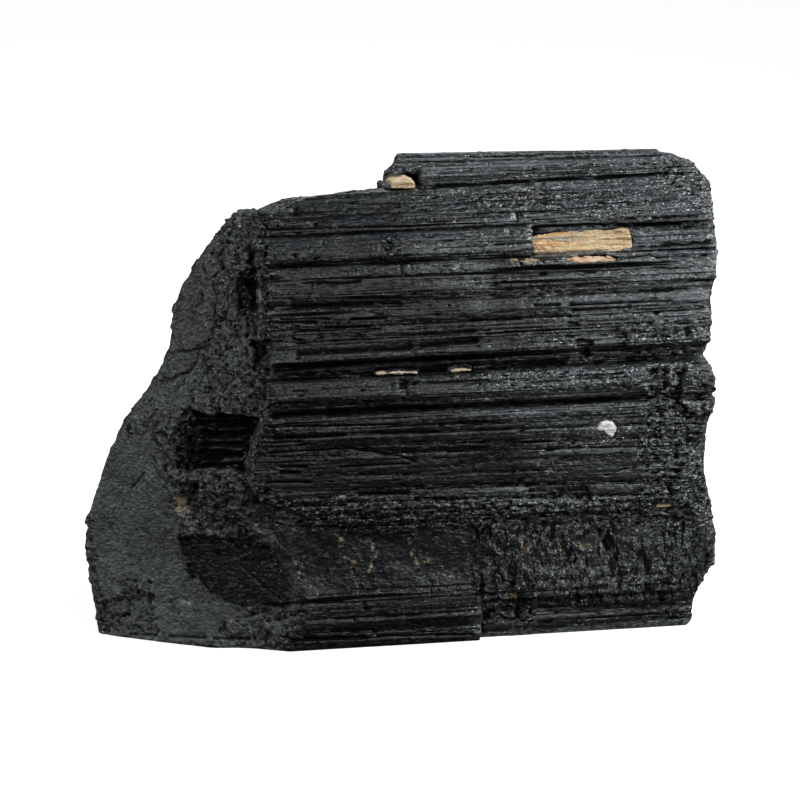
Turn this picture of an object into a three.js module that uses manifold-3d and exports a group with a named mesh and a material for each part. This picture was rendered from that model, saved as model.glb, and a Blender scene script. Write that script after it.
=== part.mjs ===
// Rough black tourmaline crystal, resting on its flat lower face.
// Millimetres, +Z up, +X along the columns, the best face towards -Y.
// The stone is a bundle of parallel columns that grew together, so it is one
// solid: a long prism with a ribbed outline, broken off at both ends, along
// the lower front and at the back. Seven small grains of a paler mineral sit
// in pockets of the stone.

import * as THREE from 'three';
import { mergeVertices } from 'three/addons/utils/BufferGeometryUtils.js';
import Module from 'manifold-3d';

// ---- driving dimensions ---------------------------------------------------

const BLANK = 220;              // length of the unbroken column bundle
const GAP = 0.3;                // clearance between a grain and its pocket
const OFFSET_X = 1.58;          // puts the middle of the finished length at x = 0
const OFFSET_Y = -0.45;         // puts the middle of the finished depth at y = 0
const BASE = -0.8;              // height of the flat lower face before it is set to z = 0

// Ribbed front of the bundle, from the base to the ridge, as [z, y].
const FRONT = [
  [BASE, -34.8], [0, -35.6], [0.9, -36.0], [2.6, -35.8], [3.2, -35.0], [4.0, -35.9], [6.0, -36.2],
  [6.6, -35.5], [7.4, -36.0], [9.0, -35.8], [12.0, -35.6], [20.0, -35.6], [28.0, -35.6],
  [31.2, -35.8], [32.4, -36.3], [33.3, -35.5], [34.6, -36.2], [36.0, -35.9],
  [36.6, -34.9], [37.4, -36.0], [39.4, -36.3], [39.9, -35.7], [40.6, -36.2],
  [41.6, -36.2], [42.0, -35.6], [42.8, -36.2], [43.6, -36.2], [44.0, -35.6],
  [44.9, -36.3], [45.6, -36.2], [46.0, -35.5], [46.8, -36.2], [48.4, -36.2],
  [49.0, -35.4], [49.8, -36.2], [51.4, -36.5], [52.8, -36.2], [53.6, -35.2],
  [54.0, -33.9], [54.8, -34.2], [55.6, -35.8], [57.2, -36.2], [58.8, -36.0],
  [60.2, -35.2], [61.4, -34.2], [61.9, -31.6], [62.8, -30.2], [64.8, -30.4],
  [65.4, -31.6], [66.2, -33.3], [67.2, -33.4], [67.8, -32.6], [68.4, -31.4],
  [69.2, -31.6], [69.8, -32.2], [70.4, -32.0], [70.6, -31.0], [71.2, -31.7],
  [72.6, -31.4], [73.4, -30.2], [74.0, -31.0], [75.6, -30.9], [77.2, -30.0],
  [77.7, -28.6], [78.4, -29.4], [80.2, -29.5], [82.0, -28.6], [82.5, -27.2],
  [83.2, -28.0], [84.8, -27.4], [86.2, -25.9], [86.7, -23.6], [87.2, -25.6],
  [88.2, -26.0], [90.2, -25.2], [91.8, -23.9], [92.6, -22.4], [93.0, -21.2],
  [93.6, -21.7], [95.2, -20.8], [96.6, -19.0], [97.0, -17.6], [97.6, -17.8],
  [99.2, -15.8], [100.8, -13.6], [101.5, -11.2], [102.2, -12.2], [103.4, -10.6],
  [104.6, -7.4], [105.6, -3.8], [106.3, -1.0], [107.0, 2.0],
];

// Ribbed back of the bundle, from the ridge to the base, as [z, y].
const BACK = [
  [106.6, 6.0], [104.2, 10.0], [102.6, 11.0], [101.2, 16.0], [97.2, 20.2], [94.6, 21.0],
  [92.2, 25.2], [86.4, 27.4], [83.6, 26.4], [80.2, 30.2], [73.2, 32.2], [70.2, 30.8],
  [66.6, 34.0], [58.2, 35.6], [55.2, 34.2], [51.2, 36.6], [43.2, 37.2], [40.2, 35.8],
  [36.2, 37.4], [28.2, 37.0], [25.4, 35.2], [20.2, 35.6], [12.2, 34.2], [9.4, 32.4],
  [5.0, 32.2], [1.0, 29.4], [BASE, 27.5],
];

// The columns fan out a little along X: rise per millimetre of length, as [z, rise].
const FAN = [
  [0, 0], [10, 0], [30, -0.022], [45, -0.022], [53, 0], [62, 0.011], [87, 0.0105],
  [96, 0.022], [102, 0.022], [105, 0.0], [107, -0.016],
];

// Broad oblique break at the left: y of the surface over [x, z].
const BREAK_X = [-80, -70, -60, -50, -40, -30, -20];
const BREAK = [
  [-8, [-6, -15, -21.5, -28.5, -31, -37, -46]],
  [0, [-6, -15, -21.5, -28.5, -31, -37, -46]],
  [10, [-5, -13, -20, -27, -30.5, -35, -46]],
  [20, [-3.5, -11.5, -19.5, -26.5, -30, -33.5, -41]],
  [30, [-2.5, -10.5, -19, -26.5, -31, -35, -43]],
  [40, [-1, -9.5, -18.5, -26.5, -32, -37, -45]],
  [50, [0, -8, -17.5, -26, -32.5, -38, -46]],
  [56, [1, -5.5, -14.5, -24.5, -32, -37.5, -46]],
  [60, [2, -3.5, -11, -20.5, -30, -36.5, -46]],
  [70, [4, 0, -6, -14.5, -25.5, -34, -44]],
  [80, [6, 2, -2.5, -9.5, -21, -31, -42]],
  [90, [8, 5, 1, -4.5, -15, -27, -38]],
  [100, [10, 8, 5, 1, -7.5, -20, -32]],
  [118, [12, 10, 8, 5, 2, -10, -24]],
];

// Where the front columns end above that break, as [z, x].
const COLUMN_ENDS = [
  [-8, -12], [27, -12], [31, -30], [35.3, -39.3], [39.3, -41.5], [45.8, -41.5], [51.3, -39.1],
  [57.8, -37.4], [62.2, -37.2], [67.6, -36.5], [70.9, -38.1], [75.1, -37.2], [79.5, -37.6],
  [82.6, -36.7], [87.8, -38.2], [92.0, -37.5], [96.0, -36.3], [118, -36.3],
];

// Leaning left edge of the stone, as [z, x], where the oblique break meets the nose.
const NOSE = [
  [-8, -71.2], [-0.3, -72.3], [6.5, -73.6], [19.8, -76.5], [25.7, -75.9], [39.7, -71.1],
  [46.6, -67.1], [55.6, -60.4], [66.0, -55.6], [76.4, -54.3], [83.7, -49.6], [92.3, -42.6],
  [97.0, -37.9], [118, -20],
];

// Broken right end at the front edge, as [z, x].
const RIGHT = [
  [-8, 60.6], [0.9, 61.4], [3.1, 62.6], [5.0, 62.2], [8.4, 64.2], [12.1, 67.2], [16.3, 68.2],
  [22.9, 67.5], [31.0, 65.3], [36.0, 64.2], [43.0, 64.8], [48.5, 64.2], [49.9, 64.9],
  [53.4, 66.7], [56.1, 66.6], [59.7, 66.1], [62.5, 64.8], [64.2, 65.1], [68.0, 66.3],
  [78.0, 66.7], [81.2, 68.0], [84.8, 69.0], [91.2, 69.8], [97.0, 70.2], [100.6, 71.0],
  [103.2, 69.9], [104.4, 67.0], [105.6, 64.1], [106.4, 61.9], [107.6, 56], [118, 50],
];

// Broken top left of the ridge column: height of the surface along x at y = -14, as [x, z].
const SHOULDER = [
  [-80, 97.4], [-38, 98.2], [-33.6, 97.0], [-30, 98.9], [-26, 100.3], [-15.8, 100.8],
  [-8.6, 101.2], [-6.4, 101.6], [10, 101.6],
];

// Left end of the ridge column above it, at y = -6, as [z, x].
const RIDGE_END = [[100, -5.3], [102.4, -4.8], [103.5, -3.4], [104.6, -2.8], [107.2, -2.3], [109, -0.6]];

// ---- small helpers ----------------------------------------------------------

const lerpTable = (table, t) => {
  if (t <= table[0][0]) return table[0][1];
  for (let i = 1; i < table.length; i++) {
    const [b, fb] = table[i];
    if (t <= b) {
      const [a, fa] = table[i - 1];
      return fa + (fb - fa) * (t - a) / (b - a);
    }
  }
  return table[table.length - 1][1];
};

const hash = (x, y, z) => {
  let h = (x * 374761393 + y * 668265263 + z * 1274126177) | 0;
  h = Math.imul(h ^ (h >>> 13), 1103515245);
  h = Math.imul(h ^ (h >>> 16), 2246822519);
  return ((h ^ (h >>> 15)) >>> 0) / 4294967295 * 2 - 1;
};

// Smooth pseudo-random value in -1..1 over space.
const rough = (x, y, z, seed) => {
  const i = Math.floor(x), j = Math.floor(y), k = Math.floor(z);
  const s = (t) => t * t * (3 - 2 * t);
  const u = s(x - i), v = s(y - j), w = s(z - k);
  let sum = 0;
  for (let a = 0; a < 2; a++) for (let b = 0; b < 2; b++) for (let c = 0; c < 2; c++) {
    sum += hash(i + a + seed * 17, j + b, k + c)
      * (a ? u : 1 - u) * (b ? v : 1 - v) * (c ? w : 1 - w);
  }
  return sum;
};

const broken = (x, y, z, seed, amount) => amount * (
  rough(x / 9, y / 9, z / 9, seed) + 0.5 * rough(x / 4.2, y / 4.2, z / 4.2, seed + 5));

const wasm = await Module();
wasm.setup();

const solid = (geometry) => {
  let g = geometry.clone();
  g.deleteAttribute('normal');
  g.deleteAttribute('uv');
  g = mergeVertices(g, 1e-4);
  return new wasm.Manifold(new wasm.Mesh({
    numProp: 3,
    vertProperties: new Float32Array(g.attributes.position.array),
    triVerts: new Uint32Array(g.index.array),
  }));
};

const geometryOf = (manifold) => {
  const mesh = manifold.getMesh();
  const g = new THREE.BufferGeometry();
  g.setAttribute('position', new THREE.BufferAttribute(new Float32Array(mesh.vertProperties), 3));
  g.setIndex(new THREE.BufferAttribute(new Uint32Array(mesh.triVerts), 1));
  return g;
};

// Block between two corners whose vertices can then be moved one by one.
const block = (lo, hi, segments, move) => {
  const size = hi.map((h, i) => h - lo[i]);
  const g = new THREE.BoxGeometry(...size, ...segments);
  g.translate(...lo.map((l, i) => l + size[i] / 2));
  if (move) {
    const p = g.attributes.position;
    for (let i = 0; i < p.count; i++) p.setXYZ(i, ...move(p.getX(i), p.getY(i), p.getZ(i)));
  }
  return solid(g);
};

// Block with one rough face: it lies beyond a plane through `at` with the outward normal `n`.
const roughPlane = (at, n, size, cells, seed, amount) => {
  const g = new THREE.BoxGeometry(size, size, 60, cells, cells, 1);
  g.translate(0, 0, 30);
  const p = g.attributes.position;
  for (let i = 0; i < p.count; i++) {
    if (p.getZ(i) < 1) p.setZ(i, broken(p.getX(i), p.getY(i), 0, seed, amount));
  }
  const q = new THREE.Quaternion().setFromUnitVectors(
    new THREE.Vector3(0, 0, 1), new THREE.Vector3(...n).normalize());
  g.applyQuaternion(q);
  g.translate(...at);
  return solid(g);
};

// Prism with the outline [y, z] along X between x0 and x1.
const columnAlongX = (outline, x0, x1) => {
  const shape = new THREE.Shape(outline.map(([y, z]) => new THREE.Vector2(y, z)));
  const g = new THREE.ExtrudeGeometry(shape, { depth: x1 - x0, steps: 1, bevelEnabled: false });
  const p = g.attributes.position;
  for (let i = 0; i < p.count; i++) p.setXYZ(i, p.getZ(i) + x0, p.getX(i), p.getY(i));
  return g;
};

// Outline moved outwards by d, for the pocket around a grain.
const grow = (outline, d) => outline.map((b, i) => {
  const n = outline.length;
  const a = outline[(i + n - 1) % n], c = outline[(i + 1) % n];
  const e1 = new THREE.Vector2(b[0] - a[0], b[1] - a[1]).normalize();
  const e2 = new THREE.Vector2(c[0] - b[0], c[1] - b[1]).normalize();
  const m = new THREE.Vector2(e1.y + e2.y, -e1.x - e2.x).normalize();
  const k = d / Math.max(0.5, m.x * e1.y - m.y * e1.x);
  return [b[0] + m.x * k, b[1] + m.y * k];
});

// Slab lying in the front of the stone: outline [along X, up the slope], counter-clockwise,
// centred on `at`, leaning back by `lean` degrees, `inner` deep and `outer` proud of `at`.
const slab = (outline, at, lean, inner, outer, crown = 0) => {
  const shape = new THREE.Shape(outline.map(([s, t]) => new THREE.Vector2(s, t)));
  const g = new THREE.ExtrudeGeometry(shape, {
    depth: inner + outer, steps: crown > 0 ? 2 : 1, bevelEnabled: false,
  });
  g.translate(0, 0, -inner);
  if (crown > 0) {
    const p = g.attributes.position;
    for (let i = 0; i < p.count; i++) {
      if (p.getZ(i) > outer - 1e-3) p.setXY(i, p.getX(i) * (1 - crown), p.getY(i) * (1 - crown));
    }
  }
  g.rotateX(Math.PI / 2 - THREE.MathUtils.degToRad(lean));
  g.translate(...at);
  return g;
};

// ---- the bundle of columns ---------------------------------------------------

const outline = [...FRONT, ...BACK].map(([z, y]) => [y, z]);
const bundleGeometry = columnAlongX(outline, -BLANK / 2, BLANK / 2);
{
  const p = bundleGeometry.attributes.position;
  for (let i = 0; i < p.count; i++) {
    p.setZ(i, p.getZ(i) + lerpTable(FAN, p.getZ(i)) * p.getX(i));
  }
}
let stone = solid(bundleGeometry);

// ---- left end -------------------------------------------------------------------

const breakY = (x, z) => lerpTable(BREAK.map(([zz, row]) => [
  zz, lerpTable(BREAK_X.map((xx, i) => [xx, row[i]]), x)]), z);

let leftBreak = block([-86, -80, -8], [-10, 0, 118], [19, 1, 28], (x, y, z) => (
  y > -1 ? [x, breakY(x, z) + broken(x, 0, z, 1, 0.75), z] : [x, y, z]));
const endWall = block([-95, -90, -9], [0, 60, 119], [1, 16, 32], (x, y, z) => (
  x > -1 ? [lerpTable(COLUMN_ENDS, z) + broken(0, y, z, 2, 0.55), y, z] : [x, y, z]));
leftBreak = leftBreak.intersect(endWall);

stone = stone.subtract(leftBreak);

// Recess in the middle of the break, with the ribs of inner columns on its floor.
const recess = solid(columnAlongX([
  [-52, 40.4], [-22.4, 40.4], [-23.0, 41.6], [-22.7, 43.2], [-21.6, 43.7], [-22.8, 44.4],
  [-22.6, 46.4], [-21.4, 46.9], [-22.8, 47.6], [-22.9, 49.6], [-21.6, 50.1], [-22.5, 50.8],
  [-22.0, 53.4], [-52, 53.4],
], -66, -30)).intersect(endWall);
stone = stone.subtract(recess);

const nose = block([-130, -70, -9], [-60, 70, 119], [1, 14, 26], (x, y, z) => (
  x > -61
    ? [lerpTable(NOSE, z) + 0.25 * (y + 8) + 0.6 * Math.max(0, y - 12)
      + broken(0, y, z, 3, 0.55), y, z]
    : [x, y, z]));
stone = stone.subtract(nose);

const backLeft = roughPlane([-58, 24, 40], [-0.62, 0.75, 0.22], 170, 26, 4, 0.9);
stone = stone.subtract(backLeft);

// ---- top left, where the ridge column is broken away --------------------------------

const shoulder = block([-90, -60, 90], [0, 60, 130], [20, 14, 5], (x, y, z) => {
  const level = [100, 102.4, 104, 106, 109, 130][Math.round((z - 90) / 8)];
  const xx = x > -1
    ? lerpTable(RIDGE_END, level) + 0.22 * (y + 6) + broken(0, y, level, 6, 0.3)
    : x * 0.9 - 9;
  if (z > 91) return [xx, y, level];
  return [xx, y, lerpTable(SHOULDER, xx) - 0.19 * Math.max(0, y + 14) + broken(xx, y, 0, 7, 0.35)];
});
stone = stone.subtract(shoulder);

// ---- right end -------------------------------------------------------------------

const rightEnd = block([60, -70, -9], [140, 70, 119], [1, 18, 34], (x, y, z) => {
  if (x > 61) return [x, y, z];
  const inward = y - Math.max(-36, lerpTable(FRONT, z));
  return [lerpTable(RIGHT, z) + 0.2 * Math.min(7, inward) + 0.05 * Math.min(30, Math.max(0, inward - 7))
    - 0.3 * Math.max(0, y - 12) + broken(0, y, z, 8, 0.6) * Math.min(1, Math.max(0.25, inward / 10)), y, z];
});
stone = stone.subtract(rightEnd);

// Bruised front corner of the right end, below the middle.
const rightBruise = roughPlane([58.4, -36.0, 26], [0.42, -0.9, -0.05], 60, 14, 9, 0.5)
  .intersect(block([40, -90, 8], [110, 40, 46], [1, 1, 1]));
stone = stone.subtract(rightBruise);

// ---- lower front: hollow break above the bottom columns ----------------------------------

const hollow = block([-62, -60, 9.4], [90, -30, 31.0], [38, 1, 7], (x, y, z) => {
  if (y < -31) return [x, y, z];
  const t = (z - 9.4) / (31.0 - 9.4);
  const deep = 3.2 * Math.pow(Math.sin(Math.PI * Math.min(1, Math.max(0, t))), 0.45);
  return [x, -37.0 + deep + (t > 0.02 && t < 0.98 ? broken(x, 0, z, 10, 0.6) : 0), z];
});
stone = stone.subtract(hollow);

// The bottom columns stand further back to the right of a small step.
const bottomStep = block([11.6, -60, -5], [95, -32.6, 8.9], [16, 1, 4], (x, y, z) => (
  y > -33 ? [x, -32.6 + 0.25 * rough(x / 11, 0, z / 6, 11) - 0.05 * Math.max(0, z), z] : [x, y, z]));
stone = stone.subtract(bottomStep);

// ---- back ------------------------------------------------------------------------

const backBreak = roughPlane([50, 26, 80], [0.3, 0.85, 0.43], 150, 22, 12, 0.9);
stone = stone.subtract(backBreak);

// ---- front: the proud column that stops short ----------------------------------------

const proudEnd = block([25.9, -45, 86.9], [90, -20, 93.2], [1, 1, 3], (x, y, z) => (
  y > -30 ? [x, -24.1 + (z - 86.9) * 0.47, z] : [x, y, z]));
stone = stone.subtract(proudEnd);

// Small open hole in the left break, beside the column ends.
const smallHole = block([-42.6, -40, 75.4], [-37.6, -18.5, 83.0], [1, 1, 1], (x, y, z) => [
  x + (y > -20 ? 0.6 : 0), y, z + (x + 40) * 0.02]);
stone = stone.subtract(smallHole);

// Dark hole under the left end of the ridge column, beside its pale chip.
const notch = block([-12, -30, 100.9], [2.6, -5.2, 103.7], [1, 1, 1], (x, y, z) => [
  x, y, z + (x > 0 ? 0.35 : 0)]);
stone = stone.subtract(notch);

// ---- grains of paler mineral -----------------------------------------------------------

// name: outline [along X, up the slope], centre, lean, depth below and height above the centre
const GRAINS = [
  {
    name: 'feldspar_seam',
    outline: [[-11.6, -3.0], [-4.0, -2.6], [4.0, -2.2], [9.6, -1.6], [11.6, -0.6], [11.4, 1.6],
      [8.6, 2.9], [-1.0, 2.8], [-8.0, 2.5], [-11.6, 1.9]],
    at: [37.7, -22.8, 89.2], lean: 25, inner: 2.4, outer: 0.5, colour: 0xb98d5e, pocket: true,
  },
  {
    name: 'feldspar_seam_lower',
    outline: [[-6.2, 0.5], [-4.0, -0.7], [2.0, -0.75], [5.6, -0.5], [6.0, 0.1], [3.0, 0.8], [-2.0, 0.75]],
    at: [39.2, -26.0, 85.5], lean: 25, inner: 1.8, outer: 0.2, colour: 0xb58f7d, pocket: true,
  },
  {
    name: 'feldspar_chip',
    outline: [[-3.2, -1.2], [2.6, -1.25], [3.3, -0.8], [2.4, 0.9], [0.6, 1.2], [-1.4, 0.9], [-3.2, 0.2]],
    at: [-2.6, -10.6, 102.35], lean: 0, inner: 5.0, outer: 2.2, colour: 0xb5916b, pocket: true,
  },
  {
    name: 'feldspar_sliver_left',
    outline: [[-4.8, -0.35], [-1.0, -0.5], [4.6, -0.4], [4.7, 0.35], [0.5, 0.5], [-4.4, 0.3]],
    at: [-7.6, -32.0, 62.6], lean: 0, inner: 3.0, outer: 0.7, colour: 0xc4ab8f, pocket: true,
  },
  {
    name: 'feldspar_sliver_right',
    outline: [[-2.4, -0.4], [2.3, -0.4], [2.5, 0.2], [1.0, 0.42], [-2.3, 0.3]],
    at: [7.2, -32.0, 62.9], lean: 0, inner: 3.0, outer: 0.7, colour: 0xc4ab8f, pocket: true,
  },
  {
    name: 'white_grain',
    outline: [[-2.3, 0.2], [-0.4, -0.5], [0.9, -1.8], [1.6, -1.9], [2.2, -0.9], [2.2, 0.3],
      [1.4, 1.4], [0.2, 1.9], [-1.0, 1.7], [-1.8, 1.0]],
    at: [40.6, -36.0, 48.0], lean: 0, inner: 1.8, outer: 0.5, colour: 0xd8d3cb, pocket: true, crown: 0.16,
  },
  {
    name: 'ochre_fleck',
    outline: [[-1.8, -0.3], [1.8, -0.32], [1.9, 0.3], [-1.7, 0.34]],
    at: [54.9, -33.2, 28.9], lean: 0, inner: 2.0, outer: 0.5, colour: 0xa9782f, pocket: true,
  },
];

const group = new THREE.Group();

for (const g of GRAINS) {
  const crown = g.crown ?? 0;
  if (g.pocket) {
    stone = stone.subtract(solid(slab(grow(g.outline, GAP), g.at, g.lean, g.inner + GAP, 12)));
  }
  const mesh = new THREE.Mesh(
    slab(g.outline, g.at, g.lean, g.inner, g.outer, crown),
    new THREE.MeshStandardMaterial({ color: g.colour, roughness: 0.55, metalness: 0 }));
  mesh.name = g.name;
  group.add(mesh);
}

// ---- the stone ------------------------------------------------------------------------

const crystal = new THREE.Mesh(
  geometryOf(stone),
  new THREE.MeshStandardMaterial({ color: 0x232527, roughness: 0.42, metalness: 0 }));
crystal.name = 'crystal';
group.add(crystal);

group.position.set(OFFSET_X, OFFSET_Y, -BASE);

export default group;
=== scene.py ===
"""Rough black tourmaline crystal: surface, paler mineral grains, light and camera."""
import math

import bpy
import numpy as np
import openvdb as vdb
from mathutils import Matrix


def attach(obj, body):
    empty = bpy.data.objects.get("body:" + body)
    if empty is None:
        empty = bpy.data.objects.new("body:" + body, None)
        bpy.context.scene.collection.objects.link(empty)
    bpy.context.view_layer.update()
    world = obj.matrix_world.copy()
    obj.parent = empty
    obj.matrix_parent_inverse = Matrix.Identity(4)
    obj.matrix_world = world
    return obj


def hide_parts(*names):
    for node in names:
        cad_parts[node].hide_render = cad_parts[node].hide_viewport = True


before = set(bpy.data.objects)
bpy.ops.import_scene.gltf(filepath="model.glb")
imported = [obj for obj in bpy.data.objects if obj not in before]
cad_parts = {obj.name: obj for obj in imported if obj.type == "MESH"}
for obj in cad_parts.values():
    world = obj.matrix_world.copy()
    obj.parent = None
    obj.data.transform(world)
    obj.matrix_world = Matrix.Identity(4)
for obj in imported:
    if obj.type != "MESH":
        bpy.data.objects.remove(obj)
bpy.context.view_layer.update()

# ---------------------------------------------------------------------------
# View: lengths in millimetres, in a frame shifted by OFF from the part's own.
# Pixel places below are in an 800 by 800 picture taken with this view.
# ---------------------------------------------------------------------------
OFF = np.array([1.58, -0.45, 0.8])
AZ, EL = math.radians(-12.0), math.radians(12.0)
LENS, SENSOR, DIST = 150.0, 36.0, 787.0
FPX = 800.0 * LENS / SENSOR
TARGET = np.array([0.0, 0.0, 49.0])
V_BACK = np.array([math.sin(AZ) * math.cos(EL), -math.cos(AZ) * math.cos(EL), math.sin(EL)])
V_RIGHT = np.array([math.cos(AZ), math.sin(AZ), 0.0])
V_UP = np.cross(V_BACK, V_RIGHT)
EYE = TARGET + V_BACK * DIST


def project(p):
    d = p - EYE
    depth = -(d @ V_BACK)
    return 400.0 + FPX * (d @ V_RIGHT) / depth, 400.0 - FPX * (d @ V_UP) / depth


# ---------------------------------------------------------------------------
# The ribbed outline of the column bundle, as [z, y], and the fan of its columns.
# ---------------------------------------------------------------------------
FRONT = np.array([
    [-0.8, -34.8], [0, -35.6], [0.9, -36.0], [2.6, -35.8], [3.2, -35.0], [4.0, -35.9], [6.0, -36.2],
    [6.6, -35.5], [7.4, -36.0], [9.0, -35.8], [12.0, -35.6], [20.0, -35.6], [28.0, -35.6],
    [31.2, -35.8], [32.4, -36.3], [33.3, -35.5], [34.6, -36.2], [36.0, -35.9],
    [36.6, -34.9], [37.4, -36.0], [39.4, -36.3], [39.9, -35.7], [40.6, -36.2],
    [41.6, -36.2], [42.0, -35.6], [42.8, -36.2], [43.6, -36.2], [44.0, -35.6],
    [44.9, -36.3], [45.6, -36.2], [46.0, -35.5], [46.8, -36.2], [48.4, -36.2],
    [49.0, -35.4], [49.8, -36.2], [51.4, -36.5], [52.8, -36.2], [53.6, -35.2],
    [54.0, -33.9], [54.8, -34.2], [55.6, -35.8], [57.2, -36.2], [58.8, -36.0],
    [60.2, -35.2], [61.4, -34.2], [61.9, -31.6], [62.8, -30.2], [64.8, -30.4],
    [65.4, -31.6], [66.2, -33.3], [67.2, -33.4], [67.8, -32.6], [68.4, -31.4],
    [69.2, -31.6], [69.8, -32.2], [70.4, -32.0], [70.6, -31.0], [71.2, -31.7],
    [72.6, -31.4], [73.4, -30.2], [74.0, -31.0], [75.6, -30.9], [77.2, -30.0],
    [77.7, -28.6], [78.4, -29.4], [80.2, -29.5], [82.0, -28.6], [82.5, -27.2],
    [83.2, -28.0], [84.8, -27.4], [86.2, -25.9], [86.7, -23.6], [87.2, -25.6],
    [88.2, -26.0], [90.2, -25.2], [91.8, -23.9], [92.6, -22.4], [93.0, -21.2],
    [93.6, -21.7], [95.2, -20.8], [96.6, -19.0], [97.0, -17.6], [97.6, -17.8],
    [99.2, -15.8], [100.8, -13.6], [101.5, -11.2], [102.2, -12.2], [103.4, -10.6],
    [104.6, -7.4], [105.6, -3.8], [106.3, -1.0], [107.0, 2.0]])
BACK = np.array([
    [-0.8, 27.5], [1.0, 29.4], [5.0, 32.2], [9.4, 32.4], [12.2, 34.2], [20.2, 35.6], [25.4, 35.2],
    [28.2, 37.0], [36.2, 37.4], [40.2, 35.8], [43.2, 37.2], [51.2, 36.6], [55.2, 34.2],
    [58.2, 35.6], [66.6, 34.0], [70.2, 30.8], [73.2, 32.2], [80.2, 30.2], [83.6, 26.4],
    [86.4, 27.4], [92.2, 25.2], [94.6, 21.0], [97.2, 20.2], [101.2, 16.0], [102.6, 11.0],
    [104.2, 10.0], [106.6, 6.0], [107.0, 2.0]])
FAN = np.array([[0, 0], [10, 0], [30, -0.022], [45, -0.022], [53, 0], [62, 0.011], [87, 0.0105],
                [96, 0.022], [102, 0.022], [105, 0.0], [107, -0.016]])


# how much of the outline's relief is kept, over z: deep at the main grooves, shallow elsewhere
KEEP = np.array([[0, 0.8], [9, 0.6], [31, 0.5], [40, 0.35], [48, 0.35], [52.6, 0.5], [53.4, 0.75], [54.6, 0.75],
                 [56, 0.7], [60, 1], [66.4, 1], [67.2, 0.45], [70, 0.3], [82, 0.35], [85.6, 0.5], [86.2, 0.55],
                 [87, 0.55], [87.6, 0.5], [92, 0.5], [92.6, 0.8], [93.2, 0.8], [94, 0.45], [96.4, 0.6], [97.4, 0.6],
                 [98, 0.4], [100.8, 0.7], [101.4, 1], [102, 0.8], [103, 0.5], [107, 0.5]])
_z = np.arange(-0.8, 107.05, 0.1)
_y = np.interp(_z, FRONT[:, 0], FRONT[:, 1])
_bridge = np.interp(_z, [60.0, 66.6], np.interp([60.0, 66.6], _z, _y))
_low = np.where((_z > 60.0) & (_z < 66.6), _bridge, _y)
_k = np.exp(-0.5 * (np.arange(-60, 61) * 0.1 / 2.2) ** 2)
_low = np.convolve(np.pad(_low, 60, mode="reflect", reflect_type="odd"), _k / _k.sum(), "valid") - 0.15
EASE_Z, EASE_DY = _z, (_low - _y) * (1 - np.interp(_z, KEEP[:, 0], KEEP[:, 1]))


def unfan(p):
    z = p[:, 2].copy()
    for _ in range(3):
        z = p[:, 2] - np.interp(z, FAN[:, 0], FAN[:, 1]) * p[:, 0]
    return z


# ---------------------------------------------------------------------------
# Repeatable noise
# ---------------------------------------------------------------------------
def hash_u(i, j, k, seed):
    h = (i.astype(np.int64) * 374761393 + j.astype(np.int64) * 668265263
         + k.astype(np.int64) * 1440662683 + seed * 2246822519) & 0xFFFFFFFF
    h = h.astype(np.uint32)
    h ^= h >> np.uint32(15)
    h *= np.uint32(2246822519)
    h ^= h >> np.uint32(13)
    h *= np.uint32(3266489917)
    h ^= h >> np.uint32(16)
    return h


def unit(h):
    return h.astype(np.float32) * np.float32(1.0 / 4294967295.0)


_g = np.random.default_rng(11).normal(size=(1024, 3)).astype(np.float32)
GRAD = _g / np.linalg.norm(_g, axis=1, keepdims=True)


def perlin(p, seed=0):
    """Smooth noise in about -1..1 at the points p, one lattice cell per unit."""
    p = np.asarray(p, np.float32)
    i = np.floor(p)
    f = p - i
    i = i.astype(np.int64)
    w = f * f * f * (f * (f * 6 - 15) + 10)
    out = np.zeros(len(p), np.float32)
    for a in (0, 1):
        wa = w[:, 0] if a else 1 - w[:, 0]
        for b in (0, 1):
            wb = wa * (w[:, 1] if b else 1 - w[:, 1])
            for c in (0, 1):
                wc = wb * (w[:, 2] if c else 1 - w[:, 2])
                g = GRAD[hash_u(i[:, 0] + a, i[:, 1] + b, i[:, 2] + c, seed) & np.uint32(1023)]
                d = (f[:, 0] - a) * g[:, 0] + (f[:, 1] - b) * g[:, 1] + (f[:, 2] - c) * g[:, 2]
                out += wc * d
    return out * 1.6


def fbm(p, octaves, seed, gain=0.5):
    out = np.zeros(len(p), np.float32)
    a, s = 1.0, 1.0
    for o in range(octaves):
        out += a * perlin(p * s + 17.3 * o, seed + o)
        a *= gain
        s *= 2.03
    return out


def facets(p, seed, tilt):
    """Broken surface: cells of flat pieces, each tilted its own way. In cell units."""
    p = np.asarray(p, np.float32)
    i0 = np.floor(p).astype(np.int64)
    best = np.full(len(p), 1e9, np.float32)
    second = np.full(len(p), 1e9, np.float32)
    value = np.zeros(len(p), np.float32)
    for a in (-1, 0, 1):
        for b in (-1, 0, 1):
            for c in (-1, 0, 1):
                i, j, k = i0[:, 0] + a, i0[:, 1] + b, i0[:, 2] + c
                h = hash_u(i, j, k, seed)
                q = np.stack([
                    i + (h & np.uint32(1023)).astype(np.float32) / 1023,
                    j + ((h >> np.uint32(10)) & np.uint32(1023)).astype(np.float32) / 1023,
                    k + ((h >> np.uint32(20)) & np.uint32(1023)).astype(np.float32) / 1023], 1)
                r = p - q.astype(np.float32)
                d = (r * r).sum(1)
                g = GRAD[hash_u(i, j, k, seed + 91) & np.uint32(1023)]
                v = tilt * (r * g).sum(1) + 0.30 * tilt * (unit(hash_u(i, j, k, seed + 57)) * 2 - 1)
                near = d < best
                second = np.where(near, best, np.minimum(second, d))
                value = np.where(near, v, value)
                best = np.where(near, d, best)
    return value, np.sqrt(second) - np.sqrt(best)


def step01(x, a, b):
    t = np.clip((x - a) / (b - a), 0, 1)
    return t * t * (3 - 2 * t)


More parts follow.
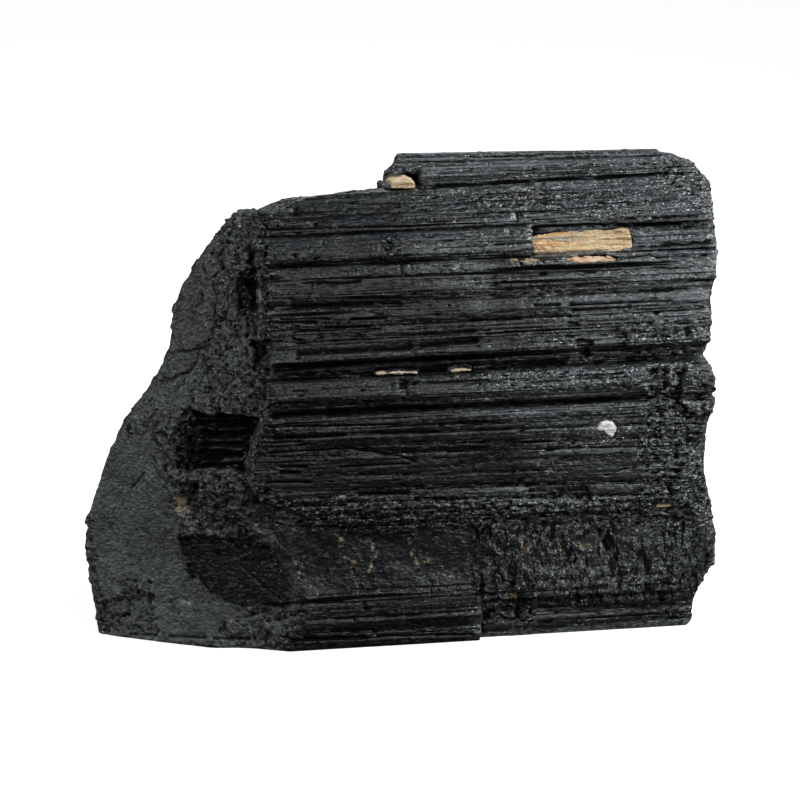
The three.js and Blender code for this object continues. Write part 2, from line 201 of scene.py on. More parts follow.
# ---------------------------------------------------------------------------
# Ribs: rows along the columns, each cut into lengths that stand at their own height
# ---------------------------------------------------------------------------
def ribs(x, s, seed, row_lo, row_hi, len_lo, len_hi, crown, lift, power):
    rng = np.random.default_rng(seed)
    lo, hi = float(s.min()) - 5, float(s.max()) + 5
    edges = [lo]
    while edges[-1] < hi:
        edges.append(edges[-1] + rng.uniform(row_lo, row_hi))
    edges = np.array(edges)
    row = np.clip(np.searchsorted(edges, s) - 1, 0, len(edges) - 2)
    t = (s - edges[row]) / (edges[row + 1] - edges[row])
    n = len(edges)
    length = rng.uniform(len_lo, len_hi, n)
    phase = rng.uniform(0, 50, n)
    f = x / length[row] + phase[row]
    i = np.floor(f).astype(np.int64)
    zero = np.zeros_like(i)
    cut = 0.7 * unit(hash_u(i, row, zero, seed + 3))
    i = np.where(f - i < cut, i - 1, i)
    height = unit(hash_u(i, row, zero, seed + 5)) * 2 - 1
    k = rng.uniform(0.25, 1.0, n)[row]
    skew = rng.uniform(-0.35, 0.35, n)[row]
    tt = np.clip(t + skew * t * (1 - t) * 2, 0, 1)
    fade = np.clip(0.55 + 1.1 * perlin(np.stack([x / 17.0, row * 7.31 + seed, 0.5 * i], 1), seed), 0, 1.25)
    top = 1 - np.abs(2 * tt - 1) ** power
    return crown * k * fade * (top - 0.8) + lift * height


# ---------------------------------------------------------------------------
# Lines, pits and patches on the display face: places in the picture
# ---------------------------------------------------------------------------
# half width in px, depth in mm, points
GROOVES = [
    (1.7, 0.55, [(419, 188), (470, 185.5), (500, 183), (550, 180), (600, 177.5), (654, 174)]),
    (1.2, 0.30, [(470, 157), (545, 157)]),
    (1.4, 0.40, [(393, 170), (420, 171)]),
    (1.2, 0.30, [(440, 174), (460, 173), (475, 169)]),
    (1.2, 0.35, [(330, 202), (400, 203)]),
    (1.2, 0.30, [(348, 208), (400, 206)]),
    (1.6, 0.45, [(250, 218), (270, 219)]),
    (1.2, 0.30, [(270, 226), (318, 225)]),
    (1.2, 0.35, [(600, 203), (670, 200)]),
    (1.5, 0.60, [(263, 267), (300, 265.5), (330, 264.5), (360, 263), (400, 261), (430, 259.5),
                 (475, 257.5), (530, 256)]),
    (1.6, 0.50, [(540, 227), (590, 224.5), (612, 224), (630, 226)]),
    (2.8, 0.55, [(635, 224), (680, 222)]),
    (1.5, 0.50, [(618, 258), (650, 254), (656, 256), (708, 254)]),
    (1.2, 0.35, [(264, 280), (280, 278.5)]),
    (1.2, 0.35, [(302, 283), (345, 282.5), (360, 281)]),
    (2.6, 0.55, [(267, 307), (330, 305), (400, 304)]),
    (1.3, 0.40, [(280, 319.5), (330, 319)]),
    (1.3, 0.40, [(352, 319), (385, 318.5)]),
    (1.3, 0.45, [(265, 323), (315, 322)]),
    (1.2, 0.40, [(325, 327), (370, 326)]),
    (1.2, 0.35, [(300, 331), (380, 329)]),
    (1.2, 0.40, [(535, 306), (560, 305)]),
    (1.3, 0.45, [(570, 305), (620, 303), (670, 301)]),
    (1.2, 0.35, [(572, 311), (630, 308)]),
    (1.6, 0.50, [(470, 320), (520, 318)]),
    (1.4, 0.40, [(487, 334), (580, 328)]),
    (1.3, 0.40, [(270, 343), (380, 338), (475, 331)]),
    (2.4, 0.45, [(298, 353), (350, 350.5), (400, 348), (475, 340)]),
    (1.2, 0.35, [(270, 428), (400, 425)]),
    (1.2, 0.35, [(275, 438), (345, 435)]),
    (1.2, 0.30, [(262, 443), (300, 442)]),
    (1.3, 0.40, [(270, 453), (340, 449)]),
    (1.2, 0.35, [(345, 448), (400, 456), (415, 462)]),
    (1.6, 0.50, [(281, 467), (306, 466.5)]),
    (1.3, 0.40, [(280, 473), (300, 472.5)]),
    (1.2, 0.35, [(340, 467), (410, 463)]),
    (1.6, 0.50, [(250, 482.5), (310, 482)]),
    (1.6, 0.50, [(475, 484), (550, 483)]),
    (2.6, 0.70, [(360, 494), (407, 494)]),
    (1.4, 0.50, [(415, 498), (445, 498)]),
    (1.7, 0.60, [(283, 507), (345, 505)]),
    (1.5, 0.45, [(302, 527), (335, 526)]),
    (1.8, 0.55, [(530, 526), (600, 522), (640, 517), (690, 520)]),
    (1.6, 0.50, [(285, 604), (342, 602)]),
    (1.3, 0.40, [(305, 631.5), (340, 631)]),
    (1.8, 0.60, [(305, 638), (365, 637.5)]),
    (1.4, 0.45, [(380, 636), (475, 635)]),
    (1.5, 0.55, [(130, 635), (155, 636)]),
    (1.5, 0.55, [(170, 637), (205, 638)]),
    (1.5, 0.55, [(215, 639), (255, 639)]),
    (1.0, 0.35, [(516, 211), (517, 222)]),
    (0.9, 0.30, [(361, 239), (362, 252)]),
    (0.9, 0.30, [(401, 265), (402, 278)]),
    (0.9, 0.30, [(412, 263), (412, 277)]),
    (1.0, 0.40, [(408, 388), (404, 402)]),
    (1.0, 0.40, [(202, 291), (201, 303), (195, 307)]),
    (1.2, 0.45, [(213, 327), (211, 335), (208, 341), (195, 347)]),
    (1.1, 0.45, [(199, 351), (197, 360), (189, 372), (182, 374)]),
    (1.1, 0.50, [(131, 488), (138, 481), (144, 473)]),
    (1.1, 0.45, [(240, 565), (262, 585), (280, 600)]),
    (1.0, 0.35, [(345, 555), (362, 590), (365, 610)]),
    (1.0, 0.35, [(425, 572), (432, 585), (430, 600)]),
    (1.2, 0.45, [(240, 286), (257, 285)]), (1.2, 0.45, [(240, 300), (257, 299)]), (1.2, 0.45, [(241, 309), (257, 309)]),
]
# centre, half sizes in px, depth in mm
PITS = [
    (295, 211, 5, 4.5, 0.9), (316, 225, 2.5, 2, 0.6), (324, 243, 2.2, 2, 0.5), (312, 286, 2, 2, 0.5),
    (263, 353, 5, 8, 1.4), (236, 262, 4, 4, 0.9), (247, 246, 3.5, 4, 0.9), (217, 354, 4, 3, 0.7),
    (237, 335, 3, 5, 0.8), (228, 282, 3, 3, 0.7), (190, 404, 3, 8, 0.9), (252, 321, 3, 3, 0.9),
    (134, 596, 8, 8, 1.2), (192, 492, 4.5, 7, 1.3), (511, 601, 8, 3.5, 0.7), (500, 612, 12, 3.5, 0.7),
    (657, 379, 7, 5, 0.9), (681, 378, 3.5, 6, 0.8), (560, 493, 30, 5, 0.8), (412, 177, 7, 5, 1.2),
    (255, 290, 4, 5, 0.6), (587, 348, 3, 4, 0.4), (651, 224, 14, 3, 0.4), (675, 470, 8, 6, 0.7),
    (668, 488, 6, 5, 0.6), (690, 440, 6, 7, 0.6), (660, 410, 7, 6, 0.6), (275, 612, 8, 4, 0.7),
    (120, 615, 8, 3, 0.5), (388, 249, 5, 8, 0.25), (201, 475, 6, 4, 0.8), (222, 478, 7, 4, 0.8), (243, 471, 6, 5, 0.9),
    (194, 412, 6, 3, 0.8), (216, 410, 8, 3, 0.7), (240, 413, 6, 4, 0.9), (183, 452, 4, 6, 0.8),
]
# rougher patches of the display face: polygons, amount in mm
ROUGH = [
    ([(470, 190), (552, 188), (552, 206), (470, 207)], 0.16),
    ([(630, 325), (711, 322), (711, 350), (630, 352)], 0.18),
    ([(648, 370), (715, 366), (712, 430), (650, 432)], 0.34),
    ([(645, 432), (708, 430), (706, 530), (640, 528)], 0.28),
    ([(655, 152), (690, 160), (712, 182), (712, 200), (690, 190), (655, 172)], 0.22),
    ([(262, 503), (520, 500), (520, 532), (262, 534)], 0.24),
    ([(520, 505), (690, 500), (690, 532), (520, 534)], 0.20),
    ([(254, 215), (266, 215), (270, 420), (254, 420)], 0.26),
    ([(480, 374), (640, 371), (640, 384), (480, 387)], 0.16),
    ([(385, 238), (397, 238), (397, 259), (385, 259)], 0.22),
    ([(186, 480), (262, 484), (262, 545), (186, 545)], 0.30),
]


# parts of the display face that lie deeper (+) or stand out (-): polygon, mm along the line of sight, soft edge px
PUSH = [
    ([(180, 538), (184, 552), (194, 572), (208, 590), (240, 606), (285, 603), (285, 580), (272, 552), (250, 541),
      (215, 540)], 1.1, 5.0, (190, 560, 280, 560)),
    ([(256, 344), (268, 342), (271, 356), (268, 372), (259, 374), (255, 360)], 2.4, 4.0),
    ([(249, 254), (257, 252), (260, 268), (252, 272)], 2.0, 3.0),
    ([(184, 484), (194, 483), (195, 500), (187, 502)], 1.8, 4.0),
    ([(105, 602), (150, 598), (154, 628), (108, 630)], 0.8, 4.0),
    ([(688, 367), (713, 367), (717, 385), (716, 402), (708, 414), (690, 412), (684, 396), (684, 378)], -1.3, 4.0),
    ([(172, 276), (200, 268), (213, 288), (214, 325), (208, 341), (195, 347), (170, 352)], -0.7, 2.0),
    ([(168, 354), (198, 352), (196, 362), (189, 372), (158, 380)], -0.4, 2.0),
    ([(528, 487), (588, 486), (590, 499), (530, 500)], 0.5, 4.0),
    ([(622, 326), (708, 324), (708, 348), (632, 349)], -0.35, 2.0),
    ([(576, 341), (590, 340), (592, 354), (580, 356)], 0.5, 2.0),
    ([(160, 428), (178, 424), (186, 440), (184, 470), (190, 484), (174, 492), (160, 470)], -0.8, 5.0),
    ([(262, 606), (286, 605), (287, 619), (264, 620)], 0.7, 2.0),
    ([(485, 595), (522, 594), (520, 618), (486, 618)], 0.7, 4.0),
    ([(403, 171), (421, 171), (421, 183), (410, 180), (404, 176)], 1.6, 3.0),
    ([(650, 371), (666, 370), (667, 388), (652, 390)], 0.9, 4.0),
    ([(398, 379), (408, 379), (408, 388), (398, 388)], 0.5, 2.0),
    ([(240, 273), (256, 269), (259, 290), (259, 316), (242, 314), (238, 292)], 1.5, 3.0),
]
# hollow in the oblique break: its outline, and its floor, which follows the break 2 mm behind it
HOLLOW = [(184, 411), (262, 409), (266, 440), (262, 484), (184, 486)]


def hollow_floor(u):
    return -22.0 - 0.118 * (u - 200)


# places where the stone keeps clear of a bedded grain
CLEAR = [
    [(532, 229), (570, 228), (628, 228), (634, 236), (633, 247), (600, 252), (565, 257), (532, 260)],
    [(562, 255), (618, 254), (618, 263), (562, 264)],
    [(376, 371), (415, 370), (415, 375), (376, 376)], [(451, 368), (472, 367.5), (472, 372), (451, 373)],
    [(595, 419), (618, 419), (618, 439), (595, 439)], [(653, 501), (673, 500), (673, 508), (653, 509)],
    [(383, 175), (417, 174), (417, 191), (383, 191)],
]
# parts of the breaks with coarse grains or with a calm, fine surface: polygon, mm or factor
COARSE = [
    ([(216, 222), (262, 212), (264, 412), (236, 414), (212, 405), (203, 372), (214, 342), (219, 300)], 0.40),
    ([(158, 424), (190, 420), (198, 505), (170, 505)], 0.36),
    ([(190, 482), (268, 482), (275, 530), (185, 530)], 0.17),
    ([(225, 205), (262, 208), (262, 226), (222, 228)], 0.35),
    ([(120, 583), (148, 582), (150, 610), (122, 610)], 0.5),
    ([(480, 590), (530, 590), (530, 620), (480, 620)], 0.35),
    ([(100, 598), (156, 596), (156, 640), (104, 640)], 0.35),
]
CALM = [
    ([(82, 440), (150, 440), (176, 505), (178, 545), (205, 592), (240, 612), (200, 640), (110, 638)], 0.22),
    ([(168, 270), (204, 266), (216, 290), (214, 340), (198, 350), (196, 370), (150, 392), (168, 345)], 0.22),
    ([(180, 538), (184, 552), (194, 572), (208, 590), (240, 606), (285, 603), (285, 580), (272, 552), (250, 541),
      (215, 540)], 0.28),
    ([(276, 528), (400, 530), (520, 528), (690, 526), (706, 560), (690, 600), (286, 602), (280, 570)], 0.55),
]
# fibrous break below the columns: streaks run up and down
FIBRE = [(478, 527), (695, 522), (714, 556), (700, 590), (660, 602), (478, 602)]


def line_field(u, v, lines, scale=1.0):
    """Sum of soft grooves: depth falls off from each line."""
    out = np.zeros(len(u), np.float32)
    for w, d, pts in lines:
        pts = np.array(pts, float)
        w = w * scale
        lo, hi = pts.min(0) - 4 * w, pts.max(0) + 4 * w
        idx = np.nonzero((u > lo[0]) & (u < hi[0]) & (v > lo[1]) & (v < hi[1]))[0]
        if not len(idx):
            continue
        best = np.full(len(idx), 1e9)
        uu, vv = u[idx], v[idx]
        for a, b in zip(pts[:-1], pts[1:]):
            e = b - a
            t = np.clip(((uu - a[0]) * e[0] + (vv - a[1]) * e[1]) / (e @ e), 0, 1)
            best = np.minimum(best, (uu - a[0] - t * e[0]) ** 2 + (vv - a[1] - t * e[1]) ** 2)
        out[idx] = np.maximum(out[idx], d * np.exp(-best / (w * w)))
    return out


def inside(u, v, poly, soft=4.0):
    """1 inside a polygon of the picture, falling to 0 within `soft` px outside it."""
    poly = np.array(poly, float)
    lo, hi = poly.min(0) - soft, poly.max(0) + soft
    idx = np.nonzero((u > lo[0]) & (u < hi[0]) & (v > lo[1]) & (v < hi[1]))[0]
    out = np.zeros(len(u), np.float32)
    if not len(idx):
        return out
    uu, vv = u[idx], v[idx]
    odd = np.zeros(len(idx), bool)
    best = np.full(len(idx), 1e9)
    for a, b in zip(poly, np.roll(poly, -1, 0)):
        cross = (a[1] > vv) != (b[1] > vv)
        with np.errstate(divide="ignore", invalid="ignore"):
            xs = (b[0] - a[0]) * (vv - a[1]) / (b[1] - a[1]) + a[0]
        odd ^= cross & (uu < xs)
        e = b - a
        t = np.clip(((uu - a[0]) * e[0] + (vv - a[1]) * e[1]) / max(e @ e, 1e-9), 0, 1)
        best = np.minimum(best, (uu - a[0] - t * e[0]) ** 2 + (vv - a[1] - t * e[1]) ** 2)
    out[idx] = np.where(odd, 1.0, 1 - step01(np.sqrt(best), 0, soft))
    return out


def ragged(u, v, amount):
    """Picture places shifted a little, so that outlines run unevenly."""
    wide = np.stack([u / 13, v / 9, np.zeros_like(u)], 1)
    fine = np.stack([u / 5, v / 4, np.full_like(u, 4.0)], 1)
    return (u + amount * (2.0 * perlin(wide, 501) + perlin(fine, 502)),
            v + amount * (1.3 * perlin(wide, 503) + 0.8 * perlin(fine, 504)))


# ---------------------------------------------------------------------------
# Mesh helpers
# ---------------------------------------------------------------------------
def mesh_arrays(obj):
    me = obj.data
    me.calc_loop_triangles()
    co = np.zeros(len(me.vertices) * 3, np.float32)
    me.vertices.foreach_get("co", co)
    tri = np.zeros(len(me.loop_triangles) * 3, np.int32)
    me.loop_triangles.foreach_get("vertices", tri)
    return co.reshape(-1, 3).astype(float) * 1000.0 - OFF, tri.reshape(-1, 3)


def closed(co, tri, squeeze):
    """Corners that share a place are merged, so that the surface is closed."""
    pts = (co * np.array([squeeze, 1, 1])).astype(np.float32)
    key = np.round(pts * 2000).astype(np.int64)
    _, first, inverse = np.unique(key, axis=0, return_index=True, return_inverse=True)
    return pts[first], inverse.reshape(-1)[tri].astype(np.uint32)


def remesh(co, tri, voxel, squeeze, beds=()):
    """Even quads over a closed mesh. X is squeezed while meshing, so quads are long in X.
    The slots around bedded grains, given as (corners, triangles, sink), are filled up."""
    space = vdb.createLinearTransform(voxel)
    pts, tri = closed(co, tri, squeeze)
    grid = vdb.FloatGrid.createLevelSetFromPolygons(pts, triangles=tri, transform=space, halfWidth=3.0)
    for gc, gt, sink in beds:
        gp, gt = closed(gc + np.array(sink), gt, squeeze)
        bed = vdb.FloatGrid.createLevelSetFromPolygons(gp, triangles=gt, transform=space, halfWidth=3.0)
        lo = np.floor(gp.min(0) / voxel).astype(int) - 4
        hi = np.ceil(gp.max(0) / voxel).astype(int) + 5
        shape = tuple(int(k) for k in hi - lo)
        a, b = np.zeros(shape, np.float32), np.zeros(shape, np.float32)
        corner = tuple(int(k) for k in lo)
        grid.copyToArray(a, ijk=corner)
        bed.copyToArray(b, ijk=corner)
        grid.copyFromArray(np.minimum(a, b - 0.18), ijk=corner)
    out = grid.convertToPolygons(0.0, 0.0)
    p, quads = out[0], out[-1]
    return p.astype(float) / np.array([squeeze, 1, 1]), quads[:, ::-1].astype(np.int64)


def normals_of(p, quads):
    n = np.cross(p[quads[:, 2]] - p[quads[:, 0]], p[quads[:, 3]] - p[quads[:, 1]])
    out = np.stack([sum(np.bincount(quads[:, k], n[:, c], len(p)) for k in range(4)) for c in range(3)], 1)
    return out / (np.linalg.norm(out, axis=1, keepdims=True) + 1e-12)


def neighbours(quads, count):
    e = np.concatenate([quads[:, [0, 1]], quads[:, [1, 2]], quads[:, [2, 3]], quads[:, [3, 0]]])
    e = np.concatenate([e, e[:, ::-1]])
    degree = np.bincount(e[:, 0], minlength=count)

    def mean(values):
        if values.ndim == 1:
            return np.bincount(e[:, 0], values[e[:, 1]], count) / degree
        return np.stack([np.bincount(e[:, 0], values[e[:, 1], c], count) / degree
                         for c in range(values.shape[1])], 1)
    return mean


def make_object(name, p, faces):
    me = bpy.data.meshes.new(name)
    faces = np.asarray(faces)
    k = faces.shape[1]
    me.vertices.add(len(p))
    me.vertices.foreach_set("co", ((p + OFF) / 1000.0).astype(np.float32).ravel())
    me.loops.add(faces.size)
    me.loops.foreach_set("vertex_index", faces.astype(np.int32).ravel())
    me.polygons.add(len(faces))
    me.polygons.foreach_set("loop_start", np.arange(0, faces.size, k, dtype=np.int32))
    me.update(calc_edges=True)
    me.validate()
    ob = bpy.data.objects.new(name, me)
    bpy.context.scene.collection.objects.link(ob)
    return ob


def thin_out(ob, triangles, keep=None, rest=0):
    """Collapses edges until about that many triangles are left. Where `keep` is given, the
    other points are thinned first, to about `rest` triangles."""
    passes = []
    if keep is not None:
        group = ob.vertex_groups.new(name="thin_first")
        group.add([int(k) for k in np.nonzero(~keep)[0]], 1.0, "REPLACE")
        kept = int(len(ob.data.polygons) * 2 * keep.mean())
        passes.append((kept + rest, "thin_first"))
    passes.append((triangles, ""))
    for goal, name in passes:
        count = sum(len(p.vertices) - 2 for p in ob.data.polygons)
        if count <= goal:
            continue
        mod = ob.modifiers.new("thin", "DECIMATE")
        mod.decimate_type = "COLLAPSE"
        mod.ratio = goal / count
        mod.use_collapse_triangulate = True
        mod.vertex_group = name
        deps = bpy.context.evaluated_depsgraph_get()
        me = bpy.data.meshes.new_from_object(ob.evaluated_get(deps), preserve_all_data_layers=True, depsgraph=deps)
        old = ob.data
        ob.modifiers.clear()
        ob.data = me
        bpy.data.meshes.remove(old)
    ob.vertex_groups.clear()


def shade(ob, degrees):
    me = ob.data
    me.polygons.foreach_set("use_smooth", np.ones(len(me.polygons), bool))
    me.set_sharp_from_angle(angle=math.radians(degrees))


def attribute(ob, name, values):
    a = ob.data.attributes.new(name, "FLOAT", "POINT")
    a.data.foreach_set("value", np.asarray(values, np.float32))


def relief(ob, p, n):
    """How far each point lies in a hollow (+) or on an edge (-), about -1..1, at two scales."""
    me = ob.data
    e = np.zeros(len(me.edges) * 2, np.int32)
    me.edges.foreach_get("vertices", e)
    e = e.reshape(-1, 2)
    e = np.concatenate([e, e[:, ::-1]])
    count = len(p)
    degree = np.maximum(np.bincount(e[:, 0], minlength=count), 1)

    def mean(x):
        return np.stack([np.bincount(e[:, 0], x[e[:, 1], c], count) / degree for c in range(x.shape[1])], 1)
    near = mean(p)
    far = near
    for _ in range(7):
        far = mean(far)
    a = ((near - p) * n).sum(1)
    b = ((far - p) * n).sum(1)
    c = np.clip(0.55 * a / 0.07 + 0.45 * b / 0.28, -1, 1)
    return 0.7 * c + 0.3 * mean(c[:, None])[:, 0]


def points_of(ob):
    co = np.zeros(len(ob.data.vertices) * 3, np.float32)
    ob.data.vertices.foreach_get("co", co)
    nm = np.zeros(len(ob.data.vertices) * 3, np.float32)
    ob.data.vertices.foreach_get("normal", nm)
    return co.reshape(-1, 3).astype(float) * 1000 - OFF, nm.reshape(-1, 3).astype(float)


# ---------------------------------------------------------------------------
# Where the surface is ribbed and where it is broken
# ---------------------------------------------------------------------------
def zones(p, n):
    zz = unfan(p)
    near = np.full(len(p), 1e9)
    for dz in (-0.45, -0.2, 0, 0.2, 0.45):
        near = np.minimum(near, np.abs(p[:, 1] - np.interp(zz + dz, FRONT[:, 0], FRONT[:, 1])))
        near = np.minimum(near, np.abs(p[:, 1] - np.interp(zz + dz, BACK[:, 0], BACK[:, 1])))
    ribbed = 1 - step01(near, 0.5, 1.3)
    # set-back lengths of the front that are still ribbed
    ribbed = np.maximum(ribbed, ((p[:, 0] > 25) & (p[:, 0] < 69) & (zz > 86.4) & (zz < 93.6)
                                 & (p[:, 1] < -20)).astype(float))
    ribbed = np.maximum(ribbed, ((p[:, 0] > 11) & (zz < 9.2) & (p[:, 1] < -31.5)).astype(float))
    inner = ((p[:, 0] > -56.5) & (p[:, 0] < -37) & (p[:, 2] > 40.0) & (p[:, 2] < 53.8)
             & (p[:, 1] < -20.6) & (p[:, 1] > -24.2)).astype(float)
    ribbed = np.maximum(ribbed, inner)
    ribbed *= 1 - step01(np.abs(n[:, 0]), 0.45, 0.75)
    flat = step01(p[:, 2], -0.75, -0.2)            # 0 on the resting face
    return zz, ribbed, inner, flat


# ---------------------------------------------------------------------------
# The crystal
# ---------------------------------------------------------------------------
VOXEL = 0.27
TRIANGLES = 196000

co, tri = mesh_arrays(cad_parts["crystal"])
BEDS = {"feldspar_seam": (0, 0.75, -0.1), "feldspar_seam_lower": (0, 0.7, -0.1), "feldspar_chip": (0.3, 2.2, -1.2),
        "feldspar_sliver_left": (0, 0.9, -0.4), "feldspar_sliver_right": (0, 0.9, -0.3),
        "white_grain": (0, 1.3, 0), "ochre_fleck": (0, 0.6, 0)}
P, Q = remesh(co, tri, VOXEL, 0.42, [(*mesh_arrays(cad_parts[k]), sink) for k, sink in BEDS.items()])
N = normals_of(P, Q)
if (N * (P - P.mean(0))).sum() < 0:
    Q = Q[:, ::-1]
    N = -N
MEAN = neighbours(Q, len(P))

# rounded, softer form of the surface, and how far each point stands out of it
soft_n = N
for _ in range(3):
    soft_n = 0.5 * soft_n + 0.5 * MEAN(soft_n)
soft_n /= np.linalg.norm(soft_n, axis=1, keepdims=True) + 1e-9
bulge = P
for _ in range(6):
    bulge = MEAN(bulge)
bulge = ((P - bulge) * soft_n).sum(1)

ZZ, RIBBED, INNER, FLAT = zones(P, N)
BROKEN = 1 - RIBBED
U, V = project(P)
SEEN = step01(N @ V_BACK, 0.0, 0.2)

# place across the columns: length along the ribbed outline
def along(table, z):
    seg = np.hypot(np.diff(table[:, 0]), np.diff(table[:, 1]) * 0.85)
    return np.interp(z, table[:, 0], np.concatenate([[0], np.cumsum(seg)]))


BASE_Z = np.array([0, 10, 30, 50, 64, 80, 95, 103, 107.0])
BASE_Y = np.array([-35.5, -35.8, -36, -36, -33, -28.5, -20, -10, 2.0])
ON_BACK = P[:, 1] > np.interp(ZZ, BASE_Z, BASE_Y) + 12
S = np.where(ON_BACK, 400 - along(BACK, ZZ), along(np.stack([BASE_Z, BASE_Y], 1), ZZ))
S = S + 0.25 * perlin(np.stack([P[:, 0] / 38, S / 6, ON_BACK * 9.0], 1), 41)

# shallower relief between the main grooves of the display face
ease = np.where(ON_BACK, 0.0, RIBBED) * np.interp(ZZ, EASE_Z, EASE_DY) * (1 - INNER)
P0 = P.copy()
P0[:, 1] += ease
N0 = N
P = P0
for _ in range(2):
    P = P + (MEAN(P) - P) * (0.5 * RIBBED * FLAT)[:, None]
UW, VW = ragged(U, V, 2.5)
sight = (P - EYE) / np.linalg.norm(P - EYE, axis=1, keepdims=True)
rise = np.maximum(0, P[:, 1] - hollow_floor(U)) * inside(UW, VW, HOLLOW, 4) * (P[:, 1] < -17)
P = P - sight * (rise / sight[:, 1])[:, None]
N = normals_of(P, Q)

d = np.zeros(len(P))
# ribs
rib = ribs(P[:, 0], S, 5, 2.2, 5.0, 60, 200, 0.42, 0.15, 9.0)
rib += ribs(P[:, 0], S, 23, 0.9, 2.2, 30, 140, 0.34, 0.09, 6.0)
rib += ribs(P[:, 0], S, 77, 0.5, 0.9, 10, 60, 0.11, 0.04, 2.5)
rib += 0.10 * perlin(np.stack([P[:, 0] / 16, P[:, 1] / 1.6, ZZ / 1.6], 1), 3)
rib += 0.07 * fbm(P / np.array([2.0, 1.0, 1.0]), 2, 4)
nick = perlin(P / np.array([3.2, 1.3, 1.3]), 6) + 0.5 * perlin(P / np.array([1.6, 0.8, 0.8]), 7)
rib -= 0.35 * step01(nick, 0.55, 0.95)
crest = np.cos(2 * math.pi * (V - 418 + 5.0 * perlin(np.stack([U / 60, V / 9, 0 * U], 1), 511)) / 10.5)
rib += 0.45 * crest * inside(UW, VW, HOLLOW, 3) * (P[:, 1] > hollow_floor(U) - 0.8) * (P[:, 1] < -17)
d += RIBBED * rib

# breaks
SEEN_SOFT = step01(N @ V_BACK, -0.05, 0.12)
calm = np.ones(len(P))
for poly, factor in CALM:
    calm = np.minimum(calm, 1 - (1 - factor) * inside(UW, VW, poly, 6) * SEEN_SOFT)
coarse = np.zeros(len(P))
for poly, amount in COARSE:
    coarse = np.maximum(coarse, amount * inside(UW, VW, poly, 7) * SEEN_SOFT)
fibre = inside(UW, VW, FIBRE, 8) * SEEN_SOFT
f1, e1 = facets(P / 7.0, 1, 1.0)
f2, e2 = facets(P / 2.4 + 5, 2, 1.0)
f3, e3 = facets(P / 1.25 + 9, 8, 1.0)
grain = fbm(P / 1.1, 2, 9)
f4, e4 = facets(P / 4.2 + 3, 12, 1.0)
brk = calm * (0.55 * f1 + 0.30 * f4 + 0.30 * f2 + 0.10 * f3) + (0.05 + 0.05 * calm) * grain
brk += coarse * (0.9 * f4 + 1.0 * f2 + 0.7 * f3 + 0.35 * fbm(P / 1.9, 3, 14) - 1.0 * step01(perlin(P / 2.0, 15), 0.28, 0.55))
brk += fibre * (0.42 * fbm(P / np.array([0.95, 0.95, 3.6]) + perlin(P / 7, 16)[:, None] * 1.2, 2, 17))
d += np.clip(BROKEN + step01(coarse, 0.05, 0.3) + fibre, 0, 1) * FLAT * brk

# picture features on the display face
g = line_field(U, V, GROOVES)
d -= SEEN * g
pit = np.zeros(len(P))
for cu, cv, ru, rv, depth in PITS:
    r2 = ((U - cu) / ru) ** 2 + ((V - cv) / rv) ** 2
    pit = np.maximum(pit, depth * np.exp(-r2 * 1.1))
d -= SEEN * pit * (0.75 + 0.5 * perlin(P / 1.1, 31))
rough = np.zeros(len(P))
for poly, amount in ROUGH:
    rough = np.maximum(rough, amount * inside(UW, VW, poly, 8))
rough *= SEEN
d += rough * (0.8 * fbm(P / np.array([1.7, 1.1, 1.1]), 3, 61) + 0.9 * fbm(P / np.array([7.0, 1.2, 0.9]), 2, 62)
              + 0.5 * f2 + 0.6 * f3)

# chipped edges
edge = step01(bulge, 0.05, 0.30)
chip = edge * step01(perlin(P / 3.1, 71) + 0.4 * perlin(P / 1.2, 72), -0.15, 0.6)
d -= FLAT * 0.35 * chip

clear = np.zeros(len(P))
for poly in CLEAR:
    clear = np.maximum(clear, inside(U, V, poly, 2.5))
clear *= SEEN
d = np.minimum(d, d * (1 - clear) - 0.06 * clear)
P2 = P + N * d[:, None]
sight = (P - EYE) / np.linalg.norm(P - EYE, axis=1, keepdims=True)
for poly, depth, soft, *fade in PUSH:
    amount = depth * inside(UW, VW, poly, soft) * SEEN_SOFT * FLAT
    if fade:
        u0, v0, u1, v1 = fade[0]
        t = ((U - u0) * (u1 - u0) + (V - v0) * (v1 - v0)) / ((u1 - u0) ** 2 + (v1 - v0) ** 2)
        amount = amount * (1 - np.clip(t, 0, 1))
    P2 = P2 + sight * amount[:, None]
# ease folds that the shifts may have made
relaxed = MEAN(P2)
lap = np.linalg.norm(relaxed - P2, axis=1)
mix = 0.10 + 0.6 * step01(lap, 0.3, 0.9)
P2 = P2 + (relaxed - P2) * mix[:, None] * np.where(RIBBED > 0.5, 0.6, 0.9)[:, None]
P2[:, 2] = np.where(P[:, 2] < -0.7, -0.8, np.maximum(P2[:, 2], -0.8))

crystal = make_object("crystal_surface", P2, Q)
thin_out(crystal, TRIANGLES, keep=(N @ V_BACK > 0.08), rest=int(0.30 * TRIANGLES))
shade(crystal, 34)

PV, NV = points_of(crystal)
zz, ribbed, inner, flat = zones(PV, NV)
u, v = project(PV)
uw, vw = ragged(u, v, 2.5)
seen = step01(NV @ V_BACK, -0.05, 0.15)
hole = inside(uw, vw, HOLLOW, 3) * seen * (PV[:, 1] > hollow_floor(u) - 1.0) * (PV[:, 1] < -17)
# painted shade: the hollow in the break and the inner columns are darkened in the colour, less so along the rib crests,
# which read as lit lines
inner = np.maximum(inner, hole)
crest = 0.5 + 0.5 * np.cos(2 * math.pi * (v - 418 + 5.0 * perlin(np.stack([u / 60, v / 9, 0 * u], 1), 511)) / 10.5)
inner = inner * (1 - 0.75 * crest ** 4)
ribbed = np.maximum(ribbed, hole * (1 - step01(np.abs(NV[:, 0]), 0.7, 0.9)))
left = step01(-PV[:, 0], 28, 33) * step01(5 - PV[:, 1], 0, 6)
rough = (1 - ribbed) * 0.75
for poly, amount in ROUGH:
    rough = np.maximum(rough, inside(uw, vw, poly, 8) * seen * min(1.0, amount / 0.28))
for poly, amount in COARSE:
    rough = np.maximum(rough, inside(uw, vw, poly, 8) * seen)
calm = np.zeros(len(PV))
